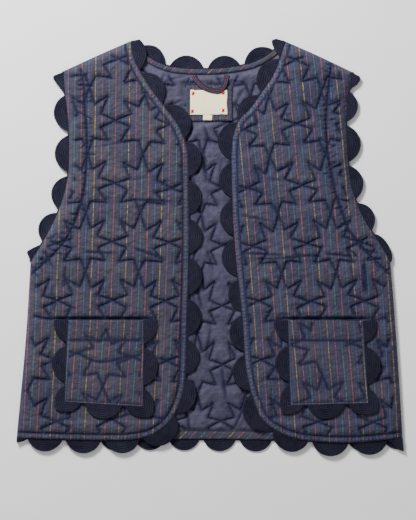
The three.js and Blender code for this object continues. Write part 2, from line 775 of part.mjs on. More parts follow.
const PARTS = [
  ["back", back, COLOURS.lining],
  ["front_left", frontLeft, COLOURS.shell],
  ["front_right", frontRight, COLOURS.shell],
  ["pocket_left", pocket(LEFT_POCKET, POCKET_QUILTS.left), COLOURS.shell],
  ["pocket_right", pocket(RIGHT_POCKET, POCKET_QUILTS.right), COLOURS.shell],
  ["facing_neck", biasStrip(backNeck, STRIPS.neck), COLOURS.shell],
  ["facing_hem", biasStrip(backHem, STRIPS.hem), COLOURS.shell],
  ["loop_hanger", hangingLoop(), COLOURS.shell],
  [
    "patch_label",
    box(PATCH.x0, PATCH.x1, PATCH.y0, PATCH.y1, PATCH_BED, PATCH_BED + THIN),
    COLOURS.shell,
  ],
  [
    "label_main",
    box(LABEL.x0, LABEL.x1, LABEL.y0, LABEL.y1, LABEL_BED, LABEL_BED + THIN),
    COLOURS.label,
  ],
  [
    "label_size",
    box(TAB.x0, TAB.x1, TAB.y0, LABEL.y0 - GAP, LABEL_BED, LABEL_BED + THIN),
    COLOURS.label,
  ],
  ["trim_front_left", frontTrim(leftOpening, RUNS.leftOpening, OPENING_TRIM_BED), COLOURS.trim],
  ["trim_front_right", frontTrim(rightOpening, RUNS.rightOpening, OPENING_TRIM_BED), COLOURS.trim],
  ["trim_neck_back", backTrim(backNeck, RUNS.backNeck), COLOURS.trim],
  ["trim_hem_back", backTrim(backHem, RUNS.backHem), COLOURS.trim],
  [
    "trim_armhole_left_front",
    frontTrim(leftArmhole, RUNS.leftArmhole, ARMHOLE_TRIM_BED),
    COLOURS.trim,
  ],
  ["trim_armhole_left_back", backTrim(leftArmhole, RUNS.leftArmhole), COLOURS.trim],
  [
    "trim_armhole_right_front",
    frontTrim(rightArmhole, RUNS.rightArmhole, ARMHOLE_TRIM_BED),
    COLOURS.trim,
  ],
  ["trim_armhole_right_back", backTrim(rightArmhole, RUNS.rightArmhole), COLOURS.trim],
  ["trim_pocket_left", pocketTrim(LEFT_POCKET), COLOURS.trim],
  ["trim_pocket_right", pocketTrim(RIGHT_POCKET), COLOURS.trim],
];

// A named mesh from a solid
function meshOf(name, solid, colour) {
  const { numProp, vertProperties, triVerts } = solid.getMesh();
  const geometry = new THREE.BufferGeometry();
  const xyz = Array.from(vertProperties).filter((_, i) => i % numProp < 3);
  geometry.setAttribute("position", new THREE.Float32BufferAttribute(xyz, 3));
  geometry.setIndex(new THREE.BufferAttribute(new Uint32Array(triVerts), 1));
  geometry.computeVertexNormals();
  const material = new THREE.MeshStandardMaterial({ color: colour, roughness: 0.9, metalness: 0 });
  const mesh = new THREE.Mesh(geometry, material);
  mesh.name = name;
  return mesh;
}

const vest = new THREE.Group();
PARTS.forEach(([name, solid, colour]) => vest.add(meshOf(name, solid, colour)));

export default vest;
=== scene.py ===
# %% [markdown]
# # A quilted vest, laid flat
# The real thing is made of two cotton cloths with thin batting between them, quilted in a pattern of
# stars and edged with dark scallops. It lies on its back panel, lining up, with the two fronts folded
# over it. The frame gives each piece its place. Here each piece gets its finished form and cloth.

# %% Tools and the frame
import math

import bpy
import numpy as np
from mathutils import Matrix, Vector
from mathutils.geometry import delaunay_2d_cdt
from mathutils.kdtree import KDTree


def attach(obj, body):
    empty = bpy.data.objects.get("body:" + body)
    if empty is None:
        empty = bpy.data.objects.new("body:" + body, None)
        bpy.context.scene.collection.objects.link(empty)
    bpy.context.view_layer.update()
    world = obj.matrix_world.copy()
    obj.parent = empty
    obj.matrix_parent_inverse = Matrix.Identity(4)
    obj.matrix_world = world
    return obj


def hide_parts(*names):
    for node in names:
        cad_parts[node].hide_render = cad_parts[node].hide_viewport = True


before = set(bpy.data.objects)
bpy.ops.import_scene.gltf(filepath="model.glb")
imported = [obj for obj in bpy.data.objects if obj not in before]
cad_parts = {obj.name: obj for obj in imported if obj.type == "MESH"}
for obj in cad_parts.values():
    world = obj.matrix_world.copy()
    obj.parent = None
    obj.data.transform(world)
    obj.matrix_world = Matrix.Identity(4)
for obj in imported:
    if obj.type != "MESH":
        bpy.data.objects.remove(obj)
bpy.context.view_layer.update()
MM = 0.001  # every size below is in millimetres, and meshes are in metres
print("nodes", len(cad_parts))

# %% [markdown]
# ## Edges
# A maker draws a panel from a few places on its edge and a smooth line through them. A centripetal
# Catmull-Rom curve does the same: it passes through every place and never loops between two.


# %% Smooth edges with stations along them
def smooth_line(places, step=1.0):
    """Even points on the smooth curve through the places."""
    p = np.asarray(places, float)
    p = np.vstack([2 * p[0] - p[1], p, 2 * p[-1] - p[-2]])
    dense = [p[1]]
    for p0, p1, p2, p3 in zip(p, p[1:], p[2:], p[3:]):
        gaps = [max(np.linalg.norm(b - a), 1e-6) ** 0.5 for a, b in ((p0, p1), (p1, p2), (p2, p3))]
        d0, d1, d2 = gaps
        t1 = ((p1 - p0) / d0 - (p2 - p0) / (d0 + d1) + (p2 - p1) / d1) * d1
        t2 = ((p2 - p1) / d1 - (p3 - p1) / (d1 + d2) + (p3 - p2) / d2) * d1
        t = np.linspace(0, 1, 25)[1:, None]
        cubic = 2 * p1 - 2 * p2 + t1 + t2
        square = -3 * p1 + 3 * p2 - 2 * t1 - t2
        dense.extend(p1 + t1 * t + square * t**2 + cubic * t**3)
    return even(np.array(dense), step)


def reach_of(line):
    """The distance along a line at each of its points."""
    return np.concatenate([[0], np.cumsum(np.linalg.norm(np.diff(line, axis=0), axis=1))])


def even(line, step):
    """The same line with points at even distances."""
    reach = reach_of(line)
    count = max(2, int(round(reach[-1] / step)) + 1)
    here = np.linspace(0, reach[-1], count)
    return np.column_stack([np.interp(here, reach, line[:, k]) for k in range(line.shape[1])])


class Edge:
    """An edge of a panel: places along it by distance, and the outward direction there."""

    def __init__(self, places, rounded=True, turn=6.0):
        places = np.asarray(places, float)
        self.points = smooth_line(places) if rounded else even(places, 0.5)
        self.reach = reach_of(self.points)
        self.length = self.reach[-1]
        self.turn = turn

    def at(self, s):
        return np.column_stack([np.interp(s, self.reach, self.points[:, k]) for k in (0, 1)])

    def out(self, s):
        along = self.at(np.asarray(s) + self.turn) - self.at(np.asarray(s) - self.turn)
        along /= np.linalg.norm(along, axis=1, keepdims=True)
        return np.column_stack([along[:, 1], -along[:, 0]])

    def off(self, s, distance):
        return self.at(s) + self.out(s) * np.reshape(distance, (-1, 1))


def sideways(line):
    """The direction to the right of a line at each of its points."""
    along = np.gradient(line, axis=0)
    along /= np.linalg.norm(along, axis=1, keepdims=True) + 1e-9
    return np.column_stack([along[:, 1], -along[:, 0]])


def outline_of(edges):
    """The closed outline of a panel whose edges are (edge, kind, lowest)."""
    return np.vstack([edge.points[:-1] for edge, _, _ in edges])


# %% The vest's own edges, anticlockwise round each panel
LEFT_OPENING = Edge(
    [(-251, -249), (-187, -251), (-130, -252), (-101, -251), (-75, -245), (-55, -231), (-42, -211)]
    + [(-35, -190), (-32, -169), (-30, -96), (-28, -18), (-28, 88), (-29, 122), (-34, 140)]
    + [(-43, 159), (-58, 179), (-76, 203), (-90, 225), (-98, 242), (-103, 266)]
)
LEFT_SHOULDER = Edge([(-103, 266), (-142, 249), (-190, 227)])
LEFT_ARMHOLE = Edge(
    [(-190, 227), (-188, 198), (-184, 164), (-183, 125), (-185, 86), (-197, 45), (-218, 3), (-233, -21)]
)
LEFT_SIDE = Edge([(-233, -21), (-239, -118), (-251, -249)])
RIGHT_OPENING = Edge(
    [(97, 266), (91, 244), (81, 220), (66, 198), (51, 177), (38, 164), (31, 147), (28, 126)]
    + [(28, 91), (30, 34), (34, -18), (42, -95), (47, -161), (55, -195), (68, -225), (87, -240)]
    + [(112, -250), (143, -254), (187, -255), (250, -249)]
)
RIGHT_SIDE = Edge([(250, -249), (244, -152), (238, -69), (234, -21)])
RIGHT_ARMHOLE = Edge(
    [(234, -21), (222, 0), (198, 38), (183, 78), (179, 112), (177, 148), (177, 177), (181, 208)]
    + [(184, 226)]
)
RIGHT_SHOULDER = Edge([(184, 226), (140, 247), (97, 266)])
BACK_NECK = Edge([(97, 266), (68, 244), (43, 235), (-5, 230), (-55, 234), (-82, 247), (-103, 266)])
BACK_HEM = Edge([(-251, -249), (-187, -251), (0, -251), (182, -252), (250, -249)])
POCKET_EDGES = {
    "left": Edge([(-184.2, -96.2), (-188.5, -202.2), (-86.8, -208.3), (-85.9, -96.2)], False, 22),
    "right": Edge([(100.9, -96.2), (104.3, -206.4), (205.1, -203.8), (198.3, -97)], False, 22),
}
for name, edge in (("opening", LEFT_OPENING), ("armhole", LEFT_ARMHOLE), ("neck", BACK_NECK)):
    print(name, round(edge.length), "mm")

# %% [markdown]
# ## Thickness
# Quilting is a play of two heights: the cloth is tight on a row of stitches and full in the middle
# of a puff. The fronts lie on the puffs of the back, and the pockets on the fronts.

# %% Heights and widths
GAP = 0.3  # between two pieces that lie on each other
STITCHED, PUFFED = 1.7, 4.2  # thickness on a row of stitches, and in the middle of a puff
FRONT_BED = PUFFED + GAP
POCKET_BED = FRONT_BED + 2.6 + GAP  # the front is pressed to 2.6 under a pocket
TRIM = 1.6
THIN = 1.0  # at an edge
BAND = 7.5  # from a bound edge to its row of topstitching
RIDGE_END = BAND - 0.8  # where the ridge of a bound edge, with its painted highlight, meets its topstitching
TICK, GATHER = 4.7, 4.4  # from one small fold to the next, on a bound edge and along a row
SEAM_REACH = 16.0  # over this distance a front comes down to its seam
PRESSED = 0.3  # share of a puff's height that is left under a pocket or the label
PRESSED_HIGH, HIGHEST = 2.55, 5.2  # no cloth is higher, under a pocket or the label and elsewhere
SHARP = math.radians(50)  # edges are creased beyond this angle
print("a front lies at", FRONT_BED, "mm and a pocket at", POCKET_BED, "mm")


# %% Measures of a place
def smooth(t):
    """A rise from 0 to 1 that is level at both ends."""
    t = np.clip(t, 0, 1)
    return t * t * (3 - 2 * t)


def ripples(where, wave, seed, count=14):
    """A smooth random field from -1 to 1 or so, with features of about the wave's length."""
    random = np.random.default_rng(seed)
    turn = random.uniform(0, 2 * math.pi, count)
    pull = 2 * math.pi / (wave * random.uniform(0.7, 1.6, count))
    phase = random.uniform(0, 2 * math.pi, count)
    x, y = where[:, :1], where[:, 1:2]
    return np.sin(x * np.cos(turn) * pull + y * np.sin(turn) * pull + phase).sum(1) / math.sqrt(count)


class Near:
    """Finds, for many places, how far the nearest sample is, and which one it is."""

    def __init__(self, samples):
        self.samples = np.asarray(samples, float)
        self.tree = KDTree(len(self.samples))
        for i, (x, y) in enumerate(self.samples):
            self.tree.insert((x, y, 0), i)
        self.tree.balance()

    def __call__(self, where):
        found = [self.tree.find((x, y, 0)) for x, y in where]
        return np.array([f[2] for f in found]), np.array([f[1] for f in found])

    def away(self, where):
        return self(where)[0]


def inside(outline, where):
    """Which of the places lie inside a closed outline."""
    x, y = where[:, 0], where[:, 1]
    odd = np.zeros(len(where), bool)
    for (ax, ay), (bx, by) in zip(outline, np.roll(outline, -1, axis=0)):
        crosses = (ay > y) != (by > y)
        if crosses.any():
            odd ^= crosses & (x < (bx - ax) * (y - ay) / ((by - ay) or 1e-9) + ax)
    return odd


def turned_left(outline):
    """The area of a closed outline, with a minus where it runs clockwise."""
    x, y = outline[:, 0], outline[:, 1]
    return (np.dot(x, np.roll(y, -1)) - np.dot(y, np.roll(x, -1))) / 2


def cut_size(outline):
    """Width, length and area of a flat cut."""
    wide, long = outline.max(0) - outline.min(0)
    return (wide, long), abs(turned_left(outline))


# %% [markdown]
# ## One way to make a sheet of cloth
# A cloth panel could be a grid, but a grid steps along a curved edge. Triangles between well chosen
# points follow any outline: points along each seam and each row of stitches, and an even field between
# them. The upper side is raised by a height for each point, the lower side is plain, and a wall joins
# them along the outline.


# %% From points to a closed sheet
def thinned(groups, spacing):
    """The points of all groups, first come first kept, none closer than its group's spacing."""
    kept = []
    cells = {}
    size = max(spacing)
    for points, apart in zip(groups, spacing):
        for x, y in points:
            i, j = int(x // size), int(y // size)
            around = ((i + di, j + dj) for di in (-1, 0, 1) for dj in (-1, 0, 1))
            near = (q for cell in around for q in cells.get(cell, ()))
            if all((x - u) ** 2 + (y - v) ** 2 >= apart * apart for u, v in near):
                kept.append((x, y))
                cells.setdefault((i, j), []).append((x, y))
    return np.array(kept)


def filled(outline, groups, spacing):
    """The thinned points of the groups, without the outline's own."""
    return thinned([outline, *groups], [0, *spacing])[len(outline):]


def field(outline, pitch):
    """A hexagonal field of points over the outline's box."""
    low, high = outline.min(0), outline.max(0)
    rows = np.arange(low[1], high[1], pitch * math.sqrt(3) / 2)
    x = np.arange(low[0], high[0], pitch)
    return np.vstack([np.column_stack([x + (k % 2) * pitch / 2, np.full(len(x), y)])
                      for k, y in enumerate(rows)])


def sides_of(face):
    return zip(face, face[1:] + face[:1])


def triangles(outline, points):
    """Triangles that fill the outline, which runs anticlockwise, and use the points inside it."""
    both = [Vector(p) for p in np.vstack([outline, points[inside(outline, points)]])]
    count = len(outline)
    found = delaunay_2d_cdt(both, [], [list(range(count))], 1, 1e-5, True)
    verts, faces, origins = found[0], found[2], found[3]
    order = [next((i for i in origin if i < count), -1) for origin in origins]
    first = {k: v for v, k in enumerate(order) if k >= 0}
    ring = [first[k] for k in range(count)]
    # what lies outside is left out by spreading from the faces along the inner side of the outline
    rim = set(sides_of(ring))
    left_of = {side: i for i, face in enumerate(faces) for side in sides_of(face)}
    inner = {left_of[side] for side in rim}
    queue = list(inner)
    while queue:
        for a, b in sides_of(faces[queue.pop()]):
            other = left_of.get((b, a))
            if (a, b) not in rim and other is not None and other not in inner:
                inner.add(other)
                queue.append(other)
    faces = [faces[i] for i in sorted(inner)]
    seen = set(ring)
    used = ring + sorted({v for face in faces for v in face} - seen)
    place = {v: i for i, v in enumerate(used)}
    return np.array([verts[v][:] for v in used]), [[place[v] for v in face] for face in faces]


def mesh_object(name, verts, faces, finish):
    """A new mesh piece, in metres, that rides on the vest."""
    mesh = bpy.data.meshes.new(name)
    mesh.from_pydata((np.asarray(verts) * MM).tolist(), [], faces)
    mesh.validate()
    mesh.shade_smooth()
    piece = bpy.data.objects.new(name, mesh)
    bpy.context.collection.objects.link(piece)
    mesh.materials.append(finish)
    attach(piece, "root")
    return piece


def keep_values(piece, name, values):
    """Keeps a number for each point of a mesh, for its finish to read."""
    held = piece.data.attributes.new(name, "FLOAT", "POINT")
    held.data.foreach_set("value", np.asarray(values, np.float32))


def as_cloth(node, flat, area=None):
    """Hides the node that a piece stands for; the size that it was cut to, in millimetres, is turned
    into metres and not kept.
    """
    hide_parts(node)
    wide, long = flat
    wide * MM
    long * MM
    area and area * MM * MM


def sheet_object(name, outline, points, top, bottom, finish, marks, coarse=9.0):
    """A closed sheet of cloth with a raised upper side, whose marks are kept as its shade."""
    if turned_left(outline) < 0:
        outline = outline[::-1]
    upper, upper_faces = triangles(outline, points)
    spread = filled(outline, [field(outline, coarse)], [min(coarse * 0.4, 2.0)])
    lower, lower_faces = triangles(outline, spread)
    sides = (upper, top(upper)), (lower, bottom(lower))
    verts = np.vstack([np.column_stack(side) for side in sides])
    below = len(upper)
    faces = upper_faces + [[below + v for v in face[::-1]] for face in lower_faces]
    faces += [[below + a, below + b, b, a] for a, b in sides_of(list(range(len(outline))))]
    piece = mesh_object(name, verts, faces, finish)
    keep_values(piece, "shade", np.concatenate([marks(upper), np.full(len(lower), 0.5)]))
    piece.data.set_sharp_from_angle(angle=SHARP)
    print(name, len(piece.data.polygons), "faces")
    return piece


# %% [markdown]
# ## The star quilting
# The rows of stitches are zigzags. Each starts at a crossing, where four of them meet, and ends at
# a touch, where two stars come close. A regular grid of stars would look printed: the real cloth
# was moved by hand under the needle. So the crossings and touches of each panel are charted one by
# one, and a quarter of a star is stretched from each crossing to the touches around it.

# %% Rows of stitches
DOWN = np.array([(0, 0), (6.9, 19.7), (24.2, 10), (15.2, 29.5), (34.5, 35.9)]) / (34.5, 35.9)
UP = np.array([(0, 0), (6.6, 17.5), (26, 14.5), (16.2, 33.5), (34.5, 42.5)]) / (34.5, 42.5)
ROW_STEP = 0.8  # spacing of the samples along a row
STAR_REACH = 70  # the next crossing or touch is never farther along x
WANDER = 0.8  # how far a row strays from its chart


def pieces_of(line, keep):
    """The stretches of a line whose points are kept."""
    ends = np.flatnonzero(np.diff(np.concatenate([[0], keep.astype(int), [0]])))
    return [line[a:b] for a, b in zip(ends[::2], ends[1::2]) if b - a > 3]


def carried_on(row, low, high):
    """A charted row of places, continued to both sides at its own spacing."""
    row = np.array(row, float)
    step = (row[-1] - row[0]) / (len(row) - 1)
    before = max(0, math.ceil((row[0, 0] - low) / step[0]))
    after = max(0, math.ceil((high - row[-1, 0]) / step[0]))
    left = [row[0] - step * k for k in range(before, 0, -1)]
    right = [row[-1] + step * k for k in range(1, after + 1)]
    return np.vstack([*left, row, *right])


def star_rows(outline, stars, seed, margin=9.0):
    """The quilting rows inside an outline, between charted crossings and touches."""
    low, high = outline[:, 0].min() - STAR_REACH, outline[:, 0].max() + STAR_REACH
    crossings, touches = ([carried_on(row, low, high) for row in chart] for chart in stars)
    rows = []
    for level, row in enumerate(crossings):
        for x, y in row:
            for near, quarter in ((level - 1, UP), (level, DOWN)):
                ends = touches[near] if 0 <= near < len(touches) else np.empty((0, 2))
                for side in (-1, 1):
                    beyond = [end for end in ends if 8 < (end[0] - x) * side < STAR_REACH]
                    if beyond:
                        end = min(beyond, key=lambda end: abs(end[0] - x))
                        rows.append(even(quarter * (end - (x, y)) + (x, y), ROW_STEP))
    flat = np.vstack(rows)
    flat = flat + WANDER * np.column_stack([ripples(flat, 45, seed), ripples(flat, 45, seed + 1)])
    keep = inside(outline[::4], flat) & (Near(outline).away(flat) > margin)
    starts = np.cumsum([0] + [len(row) for row in rows])
    return [p for a, b in zip(starts, starts[1:]) for p in pieces_of(flat[a:b], keep[a:b])]


# %% The charts: crossings, then touches, from the top of each panel down
STARS = {
    "left": (
        [[(-154.7, 280.8), (-81.9, 279.5)], [(-154.7, 205.4), (-84.5, 196.3)],
         [(-158.6, 120.2), (-85.8, 118.3), (-13, 115.7)],
         [(-160.6, 42.2), (-89.7, 42.9), (-15.6, 41.6)],
         [(-232.7, -32.5), (-161.2, -33.1), (-91.7, -34.5), (-23.4, -35.1)],
         [(-234, -107.9), (-163.8, -110.5), (-93.6, -111.8), (-26, -111.8)],
         [(-235.3, -187.2), (-163.8, -188.5), (-92.3, -188.5), (-23.4, -189.8)],
         [(-236.6, -266.5), (-163.8, -265.2), (-92.3, -266.5), (-23.4, -267.8)]],
        [[(-118.3, 241.8), (-46.8, 239.2)], [(-192.4, 162.5), (-122.9, 163.8), (-50.1, 157.3)],
         [(-195, 78), (-124.8, 81.2), (-49.4, 75.4)], [(-198.9, 3.9), (-126.8, 5.9), (-52, 3.2)],
         [(-197, -70.9), (-125.5, -70.9), (-59.1, -72.2)],
         [(-198.9, -148.2), (-127.4, -148.2), (-54.6, -149.5)],
         [(-200.2, -228.2), (-127.4, -225.6), (-57.2, -227.5)]],
    ),
    "right": (
        [[(76.7, 276.9), (145.6, 280.8)], [(77.4, 193.7), (145, 198.9)],
         [(7.8, 111.8), (78, 115.7), (150.2, 119.6)], [(18.2, 36.4), (87.8, 41), (156.7, 43.6)],
         [(26, -37.7), (93.6, -35.8), (163.8, -34.5), (232.7, -32.5)],
         [(29.9, -111.8), (97.5, -111.8), (167.7, -110.5), (235.3, -109.2)],
         [(33.8, -187.2), (102.7, -188.5), (172.9, -188.5), (240.5, -187.2)],
         [(37.7, -266.5), (104, -266.5), (175.5, -267.8), (244.4, -267.8)]],
        [[(42.9, 234), (111.8, 241.2)], [(42.9, 150.2), (111.8, 158.6)],
         [(49.4, 74.8), (120.2, 79.3), (189.8, 84.5)], [(55.9, -0.7), (126.1, 3.2), (193.7, 5.2)],
         [(63.1, -72.2), (130, -72.2), (201.5, -71.5)],
         [(66.3, -148.2), (135.2, -149.5), (209.3, -149.5)],
         [(68.9, -226.2), (139.8, -227.5), (213.2, -228.2)]],
    ),
    "back": (
        [[(-7.8, 277), (53.3, 277)], [(-7.8, 193.7), (53.3, 193.7)], [(-10.4, 118.3), (52, 118.3)],
         [(-11.7, 40.3), (49.4, 40.3)], [(-13, -36.4), (48.1, -37.7)],
         [(-15.6, -114.4), (46.8, -114.4)], [(-15.6, -193.7), (45.5, -195)],
         [(-18.2, -267.8), (44.2, -267.8)]],
        [[(-39, 234.6), (22.1, 234.6)], [(-39, 161.2), (23.4, 161.2)],
         [(-42.9, 75), (16.9, 75), (78, 75.4)], [(-45.5, -0.7), (16.9, -0.7)],
         [(-44.2, -77.4), (15.6, -77.4)], [(-46.8, -154.7), (15.6, -154.7)],
         [(-48.1, -228.8), (14.3, -228.8)]],
    ),
    "left pocket": (
        [[(-206.6, -107.9), (-134.6, -107.9)], [(-211.1, -182.7), (-139.1, -182.7)]],
        [[(-172.2, -138.5), (-99.5, -143.7)], [(-176.8, -213.2), (-102.7, -215.8)]],
    ),
    "right pocket": (
        [[(66, -88.4), (137.8, -88.4)], [(74, -165.8), (145.6, -165.8)]],
        [[(104, -127.4), (183.3, -126.1)], [(109.2, -205.4), (182, -204.1)]],
    ),
}
print("charted places", sum(len(row) for charts in STARS.values() for rows in charts for row in rows))


# %% Creases and puckers
def beside(row, distance):
    """The row moved sideways."""
    return row + sideways(row) * distance


def crease_at(creases, where):
    """Depth of soft troughs from one place to another, fading at both ends."""
    depth = np.zeros(len(where))
    for x0, y0, x1, y1, deep, wide in creases:
        low = np.minimum((x0, y0), (x1, y1)) - 5 * wide
        high = np.maximum((x0, y0), (x1, y1)) + 5 * wide
        close = np.flatnonzero(np.all((where > low) & (where < high), axis=1))
        a, side = np.array([x0, y0]), np.array([x1 - x0, y1 - y0])
        t = np.clip(((where[close] - a) @ side) / (side @ side), 0, 1)
        away = np.linalg.norm(where[close] - a - np.outer(t, side), axis=1) / wide
        fade = smooth(t * 4) * smooth((1 - t) * 4)
        depth[close] += deep * fade * (np.exp(-(away**2)) - 0.35 * np.exp(-((away - 2.2) ** 2)))
    return depth


def puckers(lines, every, long, deep, seed):
    """Small random creases across some lines, where the thread draws the cloth together."""
    random = np.random.default_rng(seed)
    found = []
    for line in lines:
        right = sideways(line)
        at = random.uniform(0, every)
        while at / ROW_STEP < len(line) - 1:
            k = int(at / ROW_STEP)
            turn = random.normal(0, 0.35)
            along = np.array([-right[k, 1], right[k, 0]])
            across = -right[k] * math.cos(turn) + along * math.sin(turn)
            start = line[k] - across * long * random.uniform(0.1, 1.0)
            end = line[k] + across * long * random.uniform(0.1, 1.0)
            found.append((*start, *end, deep * random.uniform(0.4, 1.2), random.uniform(0.9, 1.5)))
            at += every * random.uniform(0.5, 1.6)
    return found


# %% A quilted panel
class Panel:
    """A quilted panel: its outline, its rows of stitches, and the height of its upper side."""

    def __init__(self, bed, edges, rows, creases, presses, seed):
        # edges are (edge, kind, lowest) with kind "bound" or "seam"
        self.bed, self.edges, self.creases = bed, edges, creases
        self.presses, self.seed = presses, seed
        self.outline = outline_of(edges)
        self.rows = list(rows)
        self.seams = Near(np.vstack([edge.points for edge, kind, _ in edges if kind == "seam"]))
        self.bound = None
        for edge in (edge for edge, kind, _ in edges if kind == "bound"):
            self.bound = Near(edge.points)
            line = edge.off(np.arange(2, edge.length - 2, ROW_STEP), -BAND)
            self.rows += pieces_of(line, inside(self.outline[::4], line))
        self.near_row = Near(np.vstack(self.rows))
        self.low = [(Near(edge.points), lowest) for edge, _, lowest in edges if lowest < bed]

    def underside(self, where):
        z = np.full(len(where), float(self.bed))
        for near, lowest in self.low:
            rise = smooth(near.away(where) / SEAM_REACH)
            z = np.minimum(z, self.bed - (self.bed - lowest) * (1 - rise))
        return z

    def pressed(self, where):
        share = np.zeros(len(where))
        for x0, x1, y0, y1 in self.presses:
            dx = np.maximum(np.maximum(x0 - where[:, 0], where[:, 0] - x1), 0)
            dy = np.maximum(np.maximum(y0 - where[:, 1], where[:, 1] - y1), 0)
            share = np.maximum(share, 1 - smooth(np.hypot(dx, dy) / 8))
        return share

    def gathers(self, where, along):
        """Small folds across a row, where the thread draws the cloth together."""
        return np.sin(along * 2 * math.pi / GATHER + 2.5 * ripples(where, 15, self.seed + 3))

    def ticks(self, where, station):
        """Small folds across a bound edge."""
        return np.sin(station * 2 * math.pi / TICK + 1.5 * ripples(where, 18, self.seed + 7))

    def thickness(self, where):
        row, which = self.near_row(where)
        crown = 1 - np.exp(-row / 2.8)
        loft = (PUFFED - STITCHED) * (1 + 0.12 * ripples(where, 24, self.seed))
        loft *= 1 - (1 - PRESSED) * self.pressed(where)
        pucker = self.gathers(where, which * ROW_STEP) * 0.34 * np.exp(-row / 3.2) * (row > 0.5)
        wrinkles = 0.16 * ripples(where, 6.5, self.seed + 5) + 0.16 * ripples(where, 13, self.seed + 6)
        high = STITCHED + loft * crown + pucker + wrinkles * crown
        high -= crease_at(self.creases, where) * (0.3 + 0.7 * crown)
        if self.bound:
            away, station = self.bound(where)
            t = np.clip(away / BAND, 0, 1)
            ridge = np.sin(math.pi * t) ** 0.7
            folded = ridge * (0.95 + 0.22 * self.ticks(where, station))
            bound = THIN + (STITCHED - THIN) * t + folded
            high = np.where(away < BAND, bound, high)
        high = THIN + (high - THIN) * smooth(0.25 + self.seams.away(where) / 8)
        return np.minimum(high, HIGHEST)

    def top(self, where):
        high = self.thickness(where)
        low = np.minimum(high, PRESSED_HIGH)
        return self.underside(where) + np.where(self.pressed(where) > 0.9, low, high)

    def shade(self, where):
        """0 in the stitched lines and creases, where shade is painted, 1 on the puffs, and up to 1.4 on
        the ridge of a bound edge, where a highlight is painted.
        """
        row, which = self.near_row(where)
        depth = np.clip(crease_at(self.creases, where), 0, 1.5)
        folds = 0.16 * self.gathers(where, which * ROW_STEP) * np.exp(-row / 3.0)
        # low values paint shade into the stitched lines, a halo beside them and the creases, and the
        # small folds across the rows get painted light and shade
        tint = 1 - np.exp(-((row / 1.15) ** 2)) - 0.4 * np.exp(-row / 3.0) + folds - depth
        tint = np.clip(tint, 0, 1)
        if self.bound:
            away, station = self.bound(where)
            # a painted highlight along the ridge of a bound edge, with painted shade in the small folds
            # across it
            ridge = np.sin(math.pi * np.clip(away / RIDGE_END, 0, 1))
            wave = self.ticks(where, station)
            lit_ridge = 0.5 + ridge * (0.75 + 0.12 * wave) - 0.45 * ridge * (wave < -0.8)
            tint = np.where(away < RIDGE_END, lit_ridge, tint)
        return tint

    def points(self, pitch, coarse=None, fine=None):
        """The points of its mesh: along the rim, along and beside the rows, and a field between."""
        rim = []
        for edge, _, _ in self.edges:
            s = np.arange(1, edge.length - 1, 1.3)
            rim += [edge.off(s, -d) for d in (0.5, 1.3, 2.4, 3.8, 5.6)]
        rows = [row[::2] for row in self.rows]
        flanks = [beside(row, d)[::2] for row in self.rows for d in (1.1, -1.1)]
        for x0, y0, x1, y1, _, wide in self.creases:
            line = even(np.array([(x0, y0), (x1, y1)]), 1.6)
            flanks += [beside(line, d * wide) for d in (0, 0.8, -0.8)]
        groups = [np.vstack(rim), np.vstack(rows), np.vstack(flanks), field(self.outline, pitch)]
        apart = [0.75, 0.9, 0.9, pitch * 0.8]
        if fine is not None:
            groups = [g[fine(g)] for g in groups] + [field(self.outline, coarse)]
            apart.append(coarse * 0.6)
        return filled(self.outline, groups, apart)


# %% Creases and rows of the fronts
LEFT_CREASES = [
    (-168, -8, -118, -10, 1.0, 1.7), (-104, -1, -54, -19, 1.2, 1.8), (-105, 60, -42, 57, 1.0, 1.5),
    (-214, 9, -199, 12, 0.9, 1.6), (-199, 12, -188, 8, 0.9, 1.6), (-222, -17, -204, -14, 1.0, 1.5),
    (-227, -24, -211, -21, 0.9, 1.4), (-204, 14, -184, 16, 0.8, 1.5), (-186, 2, -187, -24, 0.9, 1.7),
    (-187, -20, -190, -58, 1.1, 1.8), (-206, -45, -200, -92, 0.6, 2.4),
    (-143, 129, -114, 134, 0.7, 1.6),
    (-120, 83, -66, 92, 0.4, 2.2), (-150, 150, -120, 158, 0.4, 2.4), (-150, -60, -132, -88, 0.5, 2.0),
    (-160, 175, -159, 122, 0.8, 1.2), (-159, 118, -164, 66, 1.0, 1.2), (-163, 76, -176, 28, 0.9, 1.3),
]
RIGHT_CREASES = [
    (36, -9, 104, -13, 1.2, 1.7), (50, -17, 125, -15, 1.1, 1.6), (100, -12, 150, -14, 0.9, 1.6),
    (145, -10, 192, -14, 1.2, 1.7), (36, 40, 86, 31, 0.7, 1.7), (190, -30, 202, -58, 0.9, 2.0),
    (180, -20, 190, -52, 0.7, 2.0), (206, 12, 226, 6, 0.8, 1.7), (196, -4, 222, -10, 0.8, 1.7),
    (60, 88, 100, 84, 0.4, 2.0), (110, -60, 140, -84, 0.4, 2.2), (172, 38, 181, 17, 1.6, 1.5),
    (178, 22, 199, -2, 1.8, 1.6), (194, 3, 214, -19, 1.3, 1.5), (177, -1, 193, -16, 1.3, 1.5),
    (199, -18, 203, -64, 1.6, 3.2), (150, -24, 154, -62, 0.6, 2.6), (150.5, 172, 153, 118, 1.1, 1.3),
    (152, 128, 163, 68, 1.4, 1.3), (160, 78, 183, 14, 1.5, 1.4),
]
for creases, x0, x1 in ((LEFT_CREASES, -223, -58), (RIGHT_CREASES, 78, 220)):
    creases.append((x0, -94.4, x1, -94.4, 2.4, 1.7))  # the shadow under a pocket's mouth
ARMHOLE_ROWS = {
    "left": [(-167, 228), (-163, 205), (-161.8, 177), (-159.9, 151), (-158.8, 131), (-159.5, 109)]
    + [(-161.2, 86), (-164.7, 62), (-174.2, 34), (-185.9, 10), (-205.4, -14), (-231, -36)],
    "right": [(157.3, 236), (155.3, 216), (152.8, 194), (150.8, 164), (151.5, 138), (154.1, 112)]
    + [(159.2, 83), (165.1, 60), (172.9, 38), (182, 18), (192.4, 1), (211.9, -17), (232.7, -37)],
}
POCKET_ZONES = {"left": (-204, -68, -224, -94), "right": (84, 221, -224, -94)}
SEAM_BED, ARMHOLE_BED = 2.3, 2.5


